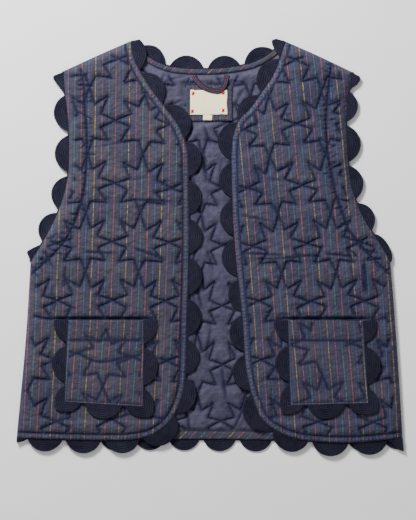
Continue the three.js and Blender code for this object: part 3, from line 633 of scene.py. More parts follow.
def front(side, seed, creases, opening, seams):
    edges = [(opening, "bound", FRONT_BED)] + [(edge, "seam", lowest) for edge, lowest in seams]
    outline = outline_of(edges)
    rows = star_rows(outline, STARS[side], seed)
    arm = smooth_line(ARMHOLE_ROWS[side], ROW_STEP)
    rows += pieces_of(arm, inside(outline[::4], arm) & (Near(outline).away(arm) > 2))
    small = puckers(rows, 10, 8, 0.55, seed) + puckers([arm], 7, 17, 1.0, seed + 1)
    return Panel(FRONT_BED, edges, rows, creases + small, [POCKET_ZONES[side]], seed)


left_front = front(
    "left", 11, LEFT_CREASES, LEFT_OPENING,
    [(LEFT_SHOULDER, SEAM_BED), (LEFT_ARMHOLE, ARMHOLE_BED), (LEFT_SIDE, SEAM_BED)],
)
right_front = front(
    "right", 23, RIGHT_CREASES, RIGHT_OPENING,
    [(RIGHT_SIDE, SEAM_BED), (RIGHT_ARMHOLE, ARMHOLE_BED), (RIGHT_SHOULDER, SEAM_BED)],
)
print("rows on the fronts", len(left_front.rows), len(right_front.rows))
# %% [markdown]
# ## Finishes as sums
# A shader is arithmetic on a place: how far a thread is from a stripe, how dark a groove is. Written as
# Python expressions it stays readable. One small class wraps a socket, and each operator adds its node.


# %% Arithmetic on sockets
class Wire:
    """A socket in a sum: arithmetic on it adds Math nodes to its finish."""

    def __init__(self, finish, socket):
        self.finish, self.socket = finish, socket

    def math(self, operation, *values):
        return self.finish.node("ShaderNodeMath", {"operation": operation}, values)

    def __add__(self, other):
        return self.math("ADD", self, other)

    def __sub__(self, other):
        return self.math("SUBTRACT", self, other)

    def __rsub__(self, other):
        return self.math("SUBTRACT", other, self)

    def __mul__(self, other):
        return self.math("MULTIPLY", self, other)

    def __truediv__(self, other):
        return self.math("DIVIDE", self, other)

    def __abs__(self):
        return self.math("ABSOLUTE", self)

    def fraction(self):
        return self.math("FRACT", self)

    def clamped(self):
        settings = {"operation": "MULTIPLY", "use_clamp": True}
        return self.finish.node("ShaderNodeMath", settings, (self, 1.0))

    def below(self, limit, soft):
        """1 where the value is under the limit, fading to 0 over a soft stretch."""
        settings = {"interpolation_type": "SMOOTHSTEP"}
        return self.finish.node(
            "ShaderNodeMapRange", settings, {0: self, 1: limit - soft, 2: limit + soft, 3: 1, 4: 0}
        )

    __radd__ = __add__
    __rmul__ = __mul__


def tone(code):
    """A display colour such as #46485a as the linear colour that a shader takes."""
    levels = [int(code[i : i + 2], 16) / 255 for i in (1, 3, 5)]
    return tuple(v / 12.92 if v < 0.04045 else ((v + 0.055) / 1.055) ** 2.4 for v in levels) + (1,)


class Finish:
    """A procedural material: nodes by type, settings and values, and one shader at its end."""

    def __init__(self, name, roughness, sheen=0.0):
        self.material = bpy.data.materials.new(name)
        self.material.use_nodes = True
        self.tree = self.material.node_tree
        self.shader = self.tree.nodes["Principled BSDF"]
        levels = {"Roughness": roughness, "Sheen Weight": sheen, "Sheen Roughness": 0.5}
        for key, value in {**levels, "Specular IOR Level": 0.15}.items():
            self.shader.inputs[key].default_value = value
        place = self.node("ShaderNodeTexCoord", output="Object")
        scaled = {"operation": "SCALE"}
        self.place = self.node("ShaderNodeVectorMath", scaled, {0: place, "Scale": 1 / MM})
        self.x, self.y = (
            self.node("ShaderNodeSeparateXYZ", inputs={0: self.place}, output=axis) for axis in "XY"
        )

    def node(self, kind, settings=None, inputs=(), output=0):
        """Any node: its settings first, then the values or wires of its sockets."""
        node = self.tree.nodes.new(kind)
        settings = dict(settings or {})
        stops = settings.pop("stops", ())
        for key, value in settings.items():
            setattr(node, key, value)
        if stops:
            node.color_ramp.interpolation = "CONSTANT"
            for _ in stops[2:]:
                node.color_ramp.elements.new(1.0)
            for element, (position, colour) in zip(node.color_ramp.elements, stops):
                element.position, element.color = position, colour
        pairs = inputs.items() if isinstance(inputs, dict) else enumerate(inputs)
        for key, value in pairs:
            if isinstance(value, Wire):
                self.tree.links.new(value.socket, node.inputs[key])
            else:
                node.inputs[key].default_value = value
        return Wire(self, node.outputs[output])

    def mixed(self, share, a, b):
        return self.node("ShaderNodeMix", {"data_type": "RGBA"}, {0: share, 6: a, 7: b}, output=2)

    def noise(self, stretch, detail=2.0, roughness=0.5):
        """Noise from 0 to 1 with so many features a millimetre along x, y and z."""
        product = {"operation": "MULTIPLY"}
        grain = self.node("ShaderNodeVectorMath", product, {0: self.place, 1: stretch})
        values = {"Vector": grain, "Scale": 1.0, "Detail": detail, "Roughness": roughness}
        return self.node("ShaderNodeTexNoise", inputs=values)

    def attribute(self, name):
        return self.node("ShaderNodeAttribute", {"attribute_name": name}, output="Fac")

    def paint(self, colour):
        self.tree.links.new(colour.socket, self.shader.inputs["Base Color"])

    def relief(self, height, distance):
        values = {"Strength": 1.0, "Distance": distance * MM, "Height": height}
        normal = self.node("ShaderNodeBump", inputs=values)
        self.tree.links.new(normal.socket, self.shader.inputs["Normal"])


# %% [markdown]
# ## The striped cotton
# The outside is yarn-dyed: a ground of grey and navy yarns, and every 8.8 mm one thin coloured
# stripe, in the order yellow, pink, teal, red, blue. The weft crosses each stripe, so it shows as
# fine dashes. Each panel was cut and laid a little askew, so its stripes lean, and the lean changes
# down the panel.

# %% Striped cloth, for each way that it was cut
STRIPE_GAP = 8.84
STRIPES = ["#9f8338", "#8a4062", "#3a696d", "#9c4a44", "#3c5279"]
# the last two tones: a navy that paints shade into grooves and creases, partly for the less faded dye
# there, and a lighter blue-grey that paints a highlight on raised ridges
GREY_YARN, NAVY_YARN, GROOVE, RIDGE_HIGHLIGHT = "#413d43", "#25283c", "#070b2c", "#565b72"
BLUE_GREY_YARN = "#3f3c49"  # the right front has faded less


def striped_cloth(name, yellow_at, top, lean=0.0, bend=0.0, turned=0.0, yarn=GREY_YARN):
    """Cloth with a yellow stripe at x = yellow_at where y = top, which leans and bends below it."""
    cloth = Finish(name, roughness=0.88, sheen=0.12)
    down = top - cloth.y
    across = cloth.x - yellow_at - down * lean - down * down * bend
    if turned:
        across = across * math.cos(turned) + down * math.sin(turned)
    across = across + (cloth.noise((0.05, 0.05, 0)) - 0.5) * 1.4
    away = abs((across / STRIPE_GAP + 0.5).fraction() - 0.5) * STRIPE_GAP
    steps = len(STRIPES)
    order = (across / (STRIPE_GAP * steps) + 0.5 / steps).fraction()
    stops = [(k / steps, tone(code)) for k, code in enumerate(STRIPES)]
    colour = cloth.node("ShaderNodeValToRGB", {"stops": stops}, {0: order})
    warp = cloth.noise((2.0, 0.03, 0), detail=3)
    weft = cloth.noise((0.06, 1.3, 0), detail=3)
    fine = cloth.noise((1.6, 1.6, 0), detail=2)
    wrinkle = cloth.noise((0.12, 0.16, 0), detail=4, roughness=0.55)
    broad = cloth.noise((0.018, 0.018, 0), detail=3)
    grey, navy = tone(yarn), tone(NAVY_YARN)
    mottle = (warp - 0.5) * 1.6 + (broad - 0.5) * 1.8 + (wrinkle - 0.5) + 0.5
    ground = cloth.mixed(mottle, navy, grey)
    ground = cloth.mixed(abs(away - 1.9).below(0.4, 0.3) * 0.5, ground, tone("#1a2040"))
    ground = cloth.mixed((weft - 0.45) * 0.7, ground, tone("#484955"))
    dashes = (cloth.noise((0.12, 0.55, 0), detail=1) - 0.34) * 4
    fading = (cloth.noise((0.03, 0.02, 0), detail=1) - 0.3) * 2.2
    shows = away.below(0.5, 0.22) * dashes.clamped() * (fading.clamped() * 0.45 + 0.5)
    shown = cloth.mixed(shows, ground, colour)
    shade = cloth.attribute("shade")
    # shade below 1 mixes in the navy of the grooves: painted shade, and partly the less faded dye there
    deep = cloth.mixed((1.0 - shade.clamped()) * 0.95, shown, tone(GROOVE))
    # shade above 1 mixes in a painted highlight, on the ridges of the bound edges and on the pocket
    # ribs
    lit_ridge = cloth.mixed((shade - 1.0).clamped() * 0.9, deep, tone(RIDGE_HIGHLIGHT))
    cloth.paint(cloth.mixed((fine - 0.5) * 0.35, lit_ridge, tone("#585a6e")))
    cloth.relief(warp * 0.4 + weft * 0.4 + fine * 0.5 + wrinkle * 14.0, 0.12)
    return cloth.material


CUTS = (
    ("front_left", "left front", -104.3, 190, -0.0116, -4.94e-5),
    ("front_right", "right front", 122.2, 190, 0.0996, -5.7e-5, 0.0, BLUE_GREY_YARN),
    ("pocket_left", "left pocket", -110.4, -95, -0.07),
    ("pocket_right", "right pocket", 106.3, -96, 0.084, 0.0, 0.0, BLUE_GREY_YARN),
    ("patch", "label patch", -4.3, 200),
    ("back", "outside of the back", 8.0, 0),
    ("bias", "cut on the bias", 3.0, 230, 0.0, 0.0, math.pi / 4),
)
striped = {key: striped_cloth(f"striped cotton, {cut}", *rest) for key, cut, *rest in CUTS}
print("striped finishes", len(striped))

# %% [markdown]
# ## The lining, the trim and the label
# The lining is a plain slate cotton, a little shinier than the outside. The trim is nearly black and
# soaks up the light. The label is a cream tape whose weave shows as a fine grain.


# %% Plain cloths
def plain_cloth(name, low, high, deep, roughness, sheen, grain, shaded=0.9, creased=1.0):
    """A plain weave between two tones, with shade painted darker in its grooves."""
    cloth = Finish(name, roughness, sheen)
    warp = cloth.noise((1.8, 0.12, 0), detail=3)
    weft = cloth.noise((0.12, 1.8, 0), detail=3)
    broad = cloth.noise((0.03, 0.03, 0), detail=4)
    wrinkle = cloth.noise((0.14, 0.14, 0), detail=4, roughness=0.6)
    fade = (warp + weft - 1.0) * grain + (broad + wrinkle - 1.0) * 1.2 + 0.5
    colour = cloth.mixed(fade, tone(low), tone(high))
    shade = cloth.attribute("shade")
    cloth.paint(cloth.mixed((1.0 - shade) * shaded, colour, tone(deep)))
    cloth.relief(warp + weft + wrinkle * creased, 0.1)
    return cloth.material


lining = plain_cloth("slate lining", "#29293d", "#484558", "#070a2a", 0.66, 0.12, 0.7, creased=9.0)
trim_cloth = plain_cloth("dark trim", "#121324", "#2e2d41", "#000004", 0.95, 0.0, 0.6, shaded=1.0)
label_cloth = plain_cloth("cream label", "#ffecbe", "#fff6d6", "#c8b080", 0.85, 0.0, 0.6, shaded=0.5)
thread = plain_cloth("navy thread", "#080c28", "#12173a", "#141834", 0.7, 0.1, 0.8, shaded=0)
red_thread = plain_cloth("red thread", "#d00410", "#e80c1c", "#901020", 0.8, 0.0, 0.8, shaded=0)
print("finishes", len(bpy.data.materials))

# %% [markdown]
# ## Stitches
# A row of stitches is a dashed line of thread, each stitch a tiny spindle that dips into the
# cloth at both ends. They are laid on the finished height of the panel, in the middle of its grooves.


# %% Threads along rows
SPINDLE = [(0, 3, 4), (3, 1, 4), (1, 2, 4), (2, 0, 4), (3, 0, 5), (1, 3, 5), (2, 1, 5), (0, 2, 5)]
STITCH_START = 0.2  # from the end of a row to its first stitch


def stitches(name, rows, top, finish=thread, long=2.5, pitch=3.3, thick=0.3):
    """One mesh of all the stitches along some rows."""
    ends = []
    for row in rows:
        reach = len(row) * ROW_STEP
        count = int(reach / pitch)
        line = even(row, 0.2)
        for k in range(count):
            start = k * pitch + STITCH_START
            a, b = (int(s / reach * len(line)) for s in (start, start + long))
            b = min(b, len(line) - 1)
            ends.append((line[a], line[b]))
    ends = np.array(ends)
    middles = ends.mean(1)
    high = top(middles) + thick * 0.4
    verts, faces = [], []
    for (a, b), middle, z in zip(ends, middles, high):
        along = (b - a) / (np.linalg.norm(b - a) + 1e-9)
        side = np.array([-along[1], along[0]]) * thick
        k = len(verts)
        verts += [(*a, z - 0.35), (*b, z - 0.35), (*(middle + side), z), (*(middle - side), z)]
        verts += [(*middle, z + thick * 0.8), (*middle, z - 0.4)]
        faces += [[k + p for p in face] for face in SPINDLE]
    piece = mesh_object(name, verts, faces, finish)
    print(name, len(ends), "stitches")
    return piece


# %% [markdown]
# ## The back
# The back panel is seen from both sides: between the fronts its lining, and from below its striped
# outside, flat on the surface. They are two sheets, and the lining's takes up the batting as well.
# It needs fine points only where it shows, so elsewhere its field is coarse.

# %% The back, outside and lining
FINE = 1.7
OUTER = 0.8  # thickness of the back's outside, with its half of the batting
BACK_CREASES = [
    (-22, 92, -15, 40, 1.1, 2.0), (-8, 130, -4, 78, 0.9, 2.2), (-14, 20, -24, -30, 1.0, 2.0),
    (-20, -40, -10, -84, 1.0, 2.0), (-6, 0, 6, -36, 0.7, 2.2), (2, -100, -6, -150, 0.8, 2.2),
    (-24, -120, -18, -170, 0.9, 2.0), (14, -150, 22, -205, 0.9, 2.2), (-42, -190, -20, -214, 0.9, 2.2),
    (-30, 150, -40, 186, 0.8, 2.0), (30, 178, 44, 206, 0.8, 2.0), (-8, 158, 2, 128, 0.9, 2.2),
    (16, 120, 10, 60, 0.5, 3.0), (-60, 214, -30, 222, 0.8, 1.6), (20, 50, 27, 10, 0.7, 2.0),
    (-34, 212, -16, 213, 1.0, 1.3), (6, 216, 22, 218, 0.8, 1.3), (30, 214, 47, 212, 0.9, 1.4),
    (-50, 182, -36, 190, 0.9, 1.5), (-58, 226, -64, 212, 0.7, 1.5), (52, -195, 30, -240, 1.0, 1.5),
    (-30, -216, -26, -242, 1.0, 2.2), (-22, -60, -16, -96, 0.8, 1.5), (24, -128, 28, -150, 0.8, 1.5),
]
LABEL_ZONE = (-32, 30, 161, 210)
UNDER_STRIP = 1.35  # height of the lining under the strips at the neck and the hem
back_edges = [(edge, "seam", 0) for edge in (
    BACK_NECK, LEFT_SHOULDER, LEFT_ARMHOLE, LEFT_SIDE,
    BACK_HEM, RIGHT_SIDE, RIGHT_ARMHOLE, RIGHT_SHOULDER,
)]
back_outline = outline_of(back_edges)
back_rows = star_rows(back_outline, STARS["back"], 41, 12)
seen_rows = [row for row in back_rows if abs(row[:, 0]).max() < 75]
BACK_CREASES += puckers(seen_rows, 13, 8, 0.5, 43)
back_panel = Panel(0, back_edges, back_rows, BACK_CREASES, [LABEL_ZONE], 41)


def level(z):
    """A height that is the same everywhere."""
    return lambda where: np.full(len(where), float(z))


def shows(where):
    """Where the lining is seen between the fronts, with some room to spare."""
    x, y = where[:, 0], where[:, 1]
    neck = (y > 110) & (np.abs(x) < np.interp(y, [110, 270], [48, 110]))
    return neck | ((x > -50) & (x < np.interp(y, [-260, -150], [120, 62])))


edge_band = Near(np.vstack([BACK_NECK.points, BACK_HEM.points]))


def lining_top(where):
    """The lining's height: low and flat along the neck and the hem, where strips cover its edge."""
    high = back_panel.top(where)
    away = edge_band.away(where)
    low = UNDER_STRIP + (high - UNDER_STRIP) * smooth((away - 8) / 9)
    return np.where(shows(where), low, np.minimum(low, PUFFED))


back_lining = sheet_object(
    "back_lining", back_outline, back_panel.points(FINE, 8.0, shows), lining_top,
    level(OUTER + 0.05), lining, back_panel.shade,
)
back_outside = sheet_object(
    "back_outside", back_outline, back_panel.points(7.0), level(OUTER), level(0),
    striped["back"], back_panel.shade,
)

# %% [markdown]
# ## The fronts
# Each front is one sheet. Its points follow the rows of stitches, so each row is a crisp valley,
# and the puffs between rise, pucker across the thread and sink where a crease or a pocket presses
# them.

# %% Both fronts
for side, panel in (("left", left_front), ("right", right_front)):
    piece = sheet_object(
        f"front_{side}_cloth", panel.outline, panel.points(FINE), panel.top, panel.underside,
        striped[f"front_{side}"], panel.shade,
    )
    rows = [row for row in panel.rows if panel.pressed(row).min() < 0.9]
    threads = stitches(f"stitches_front_{side}", rows, panel.top)
    flat, area = cut_size(panel.outline)
    as_cloth(f"front_{side}", flat, area)

# %% [markdown]
# ## The pockets
# A patch pocket is a square of the same quilting with a folded hem at its mouth. Its other sides are
# folded under, which leaves a fine raised rib along the edge. The mouth stands off a little.

# %% Both pockets
POCKET_FLAT = 1.25
HEM_ROW = 26.0  # from the mouth to the stitches of its hem
RIB, RIB_BASE = 2.0, 1.15  # width of the rib along an edge, and its height there
# no star rows within these ranges of x and y, and single rows beside the stars
POCKET_BARE = {"left": [], "right": [(146.5, 176, -166, -90), (139, 176, -116, -90)]}
POCKET_ARCS = {"left": [[(-173, -138), (-148, -149.4), (-128, -149), (-103.5, -142)]], "right": []}


class Pocket:
    """A patch pocket: a thin quilted square with a ribbed edge and a hem at its mouth."""

    def __init__(self, side):
        self.edge = POCKET_EDGES[side]
        corners = self.edge.points
        mouth = even(np.array([corners[-1], corners[0]]), 1.0)
        self.outline = np.vstack([corners[:-1:2], mouth[:-1]])
        self.mouth = Near(mouth)
        self.sides = Near(corners)
        stars = star_rows(self.outline, STARS[f"{side} pocket"], 60, 3)
        for x0, x1, y0, y1 in POCKET_BARE[side]:
            stars = [
                part for row in stars
                for part in pieces_of(row, np.any((row < (x0, y0)) | (row > (x1, y1)), axis=1))
            ]
        self.rows = stars + [smooth_line(row, ROW_STEP) for row in POCKET_ARCS[side]]
        left, right = corners[0], corners[-1]
        down = np.array([(right - left)[1], (left - right)[0]])
        down *= HEM_ROW / np.linalg.norm(down)
        self.hem = even(np.array([left + down, right + down]), ROW_STEP)[2:-2]
        self.rows.append(self.hem)
        self.near_row = Near(np.vstack(self.rows))

    def thickness(self, where):
        row, which = self.near_row(where)
        crown = 1 - np.exp(-((row / 4.0) ** 1.2))
        high = POCKET_FLAT + 1.2 * crown + 0.12 * ripples(where, 6, 71) * crown
        high += 0.16 * np.sin(which * ROW_STEP * 1.9) * np.exp(-row / 2.5) * (row > 0.5)
        side = self.sides.away(where)
        rib = RIB_BASE + 0.35 * np.sin(math.pi * np.clip(side / RIB, 0, 1))
        high = np.where(side < RIB, rib, np.minimum(high, RIB_BASE + (side - RIB) * 0.45))
        mouth = self.mouth.away(where)
        fold = np.maximum(high, 1.6 + 0.4 * np.sin(math.pi * mouth / RIB))
        return np.where(mouth < RIB, fold, high)

    def lift(self, where):
        """The mouth stands off the front, most in its middle."""
        mouth = self.mouth.away(where)
        side = self.sides.away(where)
        return 1.3 * smooth(1 - mouth / HEM_ROW) * smooth(side / 30)

    def top(self, where):
        return POCKET_BED + self.lift(where) + self.thickness(where)

    def shade(self, where):
        row = self.near_row.away(where)
        side = self.sides.away(where)
        mouth = self.mouth.away(where)
        # painted shade in the stitched lines
        tint = 1 - np.exp(-((row / 1.35) ** 2)) - 0.35 * np.exp(-row / 3.0)
        tint = np.clip(tint - 0.7 * np.exp(-(((side - 2.3) / 0.7) ** 2)), 0, 1)
        # the rib along the sides and the mouth gets a painted highlight, and the outermost 0.8 mm of
        # the sides a painted shadow where the pocket meets the trim
        rib = 1.35 - 0.55 * np.abs(np.minimum(side, mouth) - 1.1)
        return np.maximum(tint, rib) * (0.15 + 0.85 * smooth(side / 0.8))

    def points(self, pitch):
        rim = [beside(self.edge.points, -d)[::2] for d in (0.6, 1.2, 2.0, 2.8, 4.0)]
        flanks = [beside(row, d)[::2] for row in self.rows for d in (1.2, -1.2)]
        rows = np.vstack([row[::2] for row in self.rows])
        groups = [np.vstack(rim), rows, np.vstack(flanks), field(self.outline, pitch)]
        return filled(self.outline, groups, [0.7, 0.8, 0.9, pitch * 0.8])


# %% Their cloth and threads
pockets = {side: Pocket(side) for side in POCKET_EDGES}
for side, pocket in pockets.items():
    piece = sheet_object(
        f"pocket_{side}_cloth", pocket.outline, pocket.points(1.7), pocket.top,
        lambda where, pocket=pocket: POCKET_BED + pocket.lift(where),
        striped[f"pocket_{side}"], pocket.shade, coarse=6.0,
    )
    threads = stitches(f"stitches_pocket_{side}", pocket.rows, pocket.top)
    flat, area = cut_size(pocket.outline)
    as_cloth(f"pocket_{side}", flat, area)

# %% [markdown]
# ## The scalloped trim
# The trim is a band of thin cords laid side by side and bent into scallops, so its ribs run parallel
# to the rim. The height of the cloth here is a function of the distance to that rim, which gives
# every rib its course without drawing one. At its ends a trim is a share of a scallop, or it is
# folded and follows its own few places.

# %% Scallops between notches
SCALLOP_CENTRE, SCALLOP_NOTCH, NOTCH_BAND = 6.5, 1.4, 1.5
CORD, RIB_HIGH = 2.9, 0.55  # from one rib to the next, and their height
CURL_WIDTH = 18.0  # a scallop's tip curls up over this width
RUNS = {
    "left_opening": (
        LEFT_OPENING, [12, 61, 112, 162, 217, 269, 319, 372, 425, 476, 526, 576, 630, 682], 0.4, 1,
    ),
    "right_opening": (
        RIGHT_OPENING, [22, 77, 122, 175, 224, 274, 327, 373, 425, 477, 532, 585, 637, 688],
        [(0.6, 12.4), (1.4, 14.8), (3.2, 16.3), (6.4, 15.8), (10, 13.5), (13, 11.1), (15.5, 8.3)]
        + [(19.3, 2.2)],
        [(690, 5), (694, 11.6), (703, 17.4)],
    ),
    "left_armhole": (
        LEFT_ARMHOLE, [29, 81, 134, 184, 231],
        [(1.5, 2), (4.3, 11.6), (6.2, 14.4), (10, 13.8), (18, 8.6), (26, 2.5)],
        [(234, 2), (243, 8), (249.5, 11.2), (252, 10.6), (257.5, 2.3)],
    ),
    "right_armhole": (
        RIGHT_ARMHOLE, [45, 91, 141, 193, 238], 0.5,
        [(240, 3.5), (245.5, 9.6), (250.5, 12.2), (254.5, 12.6), (257, 11), (259.5, 3)],
    ),
    "back_neck": (BACK_NECK, [16, 64, 112, 162, 211], 0, 0),
    "back_hem": (BACK_HEM, [16, 62, 106, 151, 195, 240, 287, 334, 381, 427, 473], 0.4, 1),
    "left_pocket": (POCKET_EDGES["left"], [30.5, 82.6, 129.6, 183, 233, 287], 1, 1),
    "right_pocket": (POCKET_EDGES["right"], [30.5, 82.6, 129.6, 183, 233, 287], 1, 1),
}


def scallop_rim(edge, notches, first, last):
    """The trim's outer line as distance along the edge and depth outside it."""
    pitch = (notches[-1] - notches[0]) / (len(notches) - 1)
    marks = [notches[0] - pitch, *notches, notches[-1] + pitch]
    rim = []
    for k, (a, b) in enumerate(zip(marks, marks[1:])):
        radius = (b - a) / 2 - SCALLOP_NOTCH
        spread = math.acos((SCALLOP_CENTRE + NOTCH_BAND) / radius)
        share = first if k == 0 else last if k == len(marks) - 2 else 1
        if isinstance(share, list):
            rim += share
            continue
        for turn in np.linspace(-spread, spread, 41):
            s = (a + b) / 2 + radius * math.sin(turn)
            deep = NOTCH_BAND + (radius * math.cos(turn) - SCALLOP_CENTRE - NOTCH_BAND) * share
            if 0 < s < edge.length:
                rim.append((s, deep))
    return [(0, rim[0][1]), *rim, (edge.length, rim[-1][1])]


print("lengths of trim", len(RUNS), "with notches", sum(len(run[1]) for run in RUNS.values()))

# %% A length of trim
back_rim = Near(back_outline[::2])
TRIM_BED, OPENING_TRIM_BED, ARMHOLE_TRIM_BED = 2.0, 3.3, 2.6


def over_the_back(at_edge):
    """Underside of a front's trim: on the back's puffs, and sloping to the back's trim outside."""

    def bed(where):
        away = back_rim.away(where)
        deep = np.where(inside(back_outline[::4], where), away, -away)
        within = at_edge + (FRONT_BED - at_edge) * np.clip(deep / 8, 0, 1)
        beyond = at_edge + (TRIM_BED - at_edge) * np.clip(-deep / 12, 0, 1)
        return np.where(deep < 0, beyond, within)

    return bed


def trim_object(node, run, bed, curl, seed):
    """A scalloped trim along one edge, ribbed parallel to its rim."""
    edge, notches, first, last = RUNS[run]
    s, deep = np.array(scallop_rim(edge, notches, first, last)).T
    rim = edge.off(s, deep)
    stations = np.arange(0, edge.length, 1.5)
    root = edge.off(np.append(stations, edge.length), 0.1)
    outline = even(np.vstack([root, rim[::-1], root[:1]]), 1.1)[:-1][::-1]
    rim_line = Near(even(rim, 0.4))
    root_line = Near(even(root, 1.0))

    def curled(where):
        curls = smooth(root_line.away(where) / CURL_WIDTH)
        return curl * curls * (0.55 + 0.45 * ripples(where, 60, seed))

    def top(where):
        away = rim_line.away(where)
        cord = np.abs(np.sin(math.pi * away / CORD)) ** 0.7
        ribs = RIB_HIGH * cord * smooth(away / 0.5 + 0.2)
        return bed(where) + TRIM - RIB_HIGH + ribs + curled(where)

    def under(where):
        return bed(where) + np.maximum(curled(where), 0)

    def shade(where):
        # painted shade in the gaps between the cords, so that the ribs show
        away = rim_line.away(where)
        return 0.02 + 0.98 * np.abs(np.sin(math.pi * away / CORD)) ** 1.5

    rings = []
    for a, b in zip([notches[0] - 50, *notches], [*notches, notches[-1] + 50]):
        radius = (b - a) / 2 - SCALLOP_NOTCH
        for k in range(1, 28):
            r = radius - k * CORD / 4
            spread = math.acos(min(1, (SCALLOP_CENTRE + 0.3) / max(r, SCALLOP_CENTRE + 0.3)))
            if spread > 0.05:
                turns = np.linspace(-spread, spread, max(3, int(2 * spread * r / 1.8)))
                at = (a + b) / 2 + r * np.sin(turns)
                keep = (at > 0) & (at < edge.length)
                if keep.any():
                    rings.append(edge.off(at[keep], r * np.cos(turns[keep]) - SCALLOP_CENTRE))
    points = filled(outline, [np.vstack(rings), field(outline, 1.3)], [0.5, 1.0])
    piece = sheet_object(f"{node}_cloth", outline, points, top, under, trim_cloth, shade, 8.0)
    _, area = cut_size(outline)
    as_cloth(node, (deep.max() + 0.5, edge.length + 4), area)


# %% All ten lengths of trim
over_armholes, over_fronts = over_the_back(ARMHOLE_TRIM_BED), over_the_back(OPENING_TRIM_BED)
for seed, (node, run, bed, curl, rests_on) in enumerate((
    ("trim_neck_back", "back_neck", level(0), 0.3, "floor"),
    ("trim_hem_back", "back_hem", level(0), 0.2, "floor"),
    ("trim_armhole_left_back", "left_armhole", level(0), 0.2, "floor"),
    ("trim_armhole_right_back", "right_armhole", level(0), 0.2, "floor"),
    ("trim_armhole_left_front", "left_armhole", over_armholes, 0.8, "trim_armhole_left_back_cloth"),
    ("trim_armhole_right_front", "right_armhole", over_armholes, 0.8, "trim_armhole_right_back_cloth"),
    ("trim_front_left", "left_opening", over_fronts, 0.9, "back_lining"),
    ("trim_front_right", "right_opening", over_fronts, 0.9, "back_lining"),
), 1):
    trim_object(node, run, bed, curl, seed)
for side in pockets:
    trim_object(f"trim_pocket_{side}", f"{side}_pocket", level(POCKET_BED), 0.3, 9)

# %% [markdown]
# ## Strips, loop and label
# A strip of the striped cotton, cut on the bias so that it bends, covers the raw edge inside the
# neck and the hem. Its stripes therefore cross it at 45 degrees. A loop of the same cotton hangs
# from the neck seam, above a cream label on a striped patch.

# %% Strips along the neck and the hem
STRIP_BED = 1.9


def strip_object(node, edge, start, end, wide):
    """A bias strip with a soft roll across it and slight waves along it."""
    stations = np.arange(start, end, 1.0)
    outer, inner = edge.off(stations, -0.3), edge.off(stations[::-1], -wide)
    outline = even(np.vstack([outer, inner, outer[:1]]), 0.9)[:-1]
    edges = Near(outline)

    def top(where):
        away = edges.away(where)
        roll = 0.55 * smooth(away / 1.6) + 0.12 * ripples(where, 14, 90) * smooth(away)
        return STRIP_BED + 0.5 + roll

    def shade(where):
        away = edges.away(where)
        return 0.35 + 0.65 * smooth(away / 1.2)

    rings = [edge.off(stations[1:-1], -d) for d in np.arange(1.0, wide - 0.5, 0.8)]
    points = filled(outline, [np.vstack(rings)], [0.7])
    bed, cotton = level(STRIP_BED), striped["bias"]
    piece = sheet_object(f"{node}_strip", outline, points, top, bed, cotton, shade, 3.0)
    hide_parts(node)
    return piece


neck_strip = strip_object("facing_neck", BACK_NECK, 14, 200, 6.5)
hem_strip = strip_object("facing_hem", BACK_HEM, 14, 487, 10.3)

# %% The hanging loop
LOOP_PATH = [
    (-21, 221.5, 3.6), (-17, 214.5, 4.8), (-9, 206.5, 5.9), (4, 201.5, 6.1), (13, 201.5, 6.1),
    (18.8, 209, 5.9), (21.4, 218, 4.4), (22.2, 222, 3.6),
]
LOOP_HALF, LOOP_THICK = 3.4, 1.1
LOOP_STEP = 0.8
SECTION = [(-1, 0), (-0.94, 0.5), (-0.7, 0.85), (-0.3, 1), (0.1, 0.92), (0.5, 1), (0.8, 0.8)]
SECTION += [(1, 0.4), (1, 0), (0, 0)]
loop_path = smooth_line(LOOP_PATH, LOOP_STEP)
ring = len(SECTION)
verts, across = [], []
for place, aside in zip(loop_path, sideways(loop_path[:, :2])):
    for side, rise in SECTION:
        high = place[2] + (rise - 0.5) * LOOP_THICK
        verts.append((*(place[:2] + aside * side * LOOP_HALF), high))
        across.append(side)
faces = [list(range(ring))[::-1], list(range(len(verts) - ring, len(verts)))]
for i in range(len(loop_path) - 1):
    for k in range(ring):
        a, b = i * ring + k, i * ring + (k + 1) % ring
        faces.append([a, b, b + ring, a + ring])


def loop_cloth():
    """The loop's cloth: striped along, with one red dashed line."""
    cloth = Finish("striped cotton, hanging loop", 0.9, 0.0)
    side = cloth.attribute("across")
    reach = cloth.attribute("along")
    grain = cloth.noise((0.9, 0.9, 0), detail=3)
    ground = cloth.mixed((grain - 0.5) * 1.6 + 0.5, tone("#181a2a"), tone("#2a2a34"))
    red = abs(side + 0.12).below(0.13, 0.06) * ((reach / 3.1).fraction() - 0.62).below(0.0, 0.08)
    pale = abs(side - 0.55).below(0.12, 0.06) * 0.2
    ground = cloth.mixed(pale, ground, tone("#7a7c92"))
    ground = cloth.mixed(red * 0.7, ground, tone("#8c2c38"))
    # painted shade darkens the loop towards its rolled sides
    cloth.paint(cloth.mixed(abs(side).math("POWER", abs(side), 6.0) * 0.6, ground, tone(GROOVE)))
    cloth.relief(grain, 0.1)
    return cloth.material


loop_band = mesh_object("hanging_band", verts, faces, loop_cloth())
keep_values(loop_band, "across", across)
keep_values(loop_band, "along", np.repeat(np.arange(len(loop_path)) * LOOP_STEP, ring))
loop_band.data.set_sharp_from_angle(angle=math.radians(60))
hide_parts("loop_hanger")
print("loop", round(len(loop_path) * LOOP_STEP), "mm")

# %% Patch, label and size tab
PATCH_BED, LABEL_BED = 3.0, 4.3


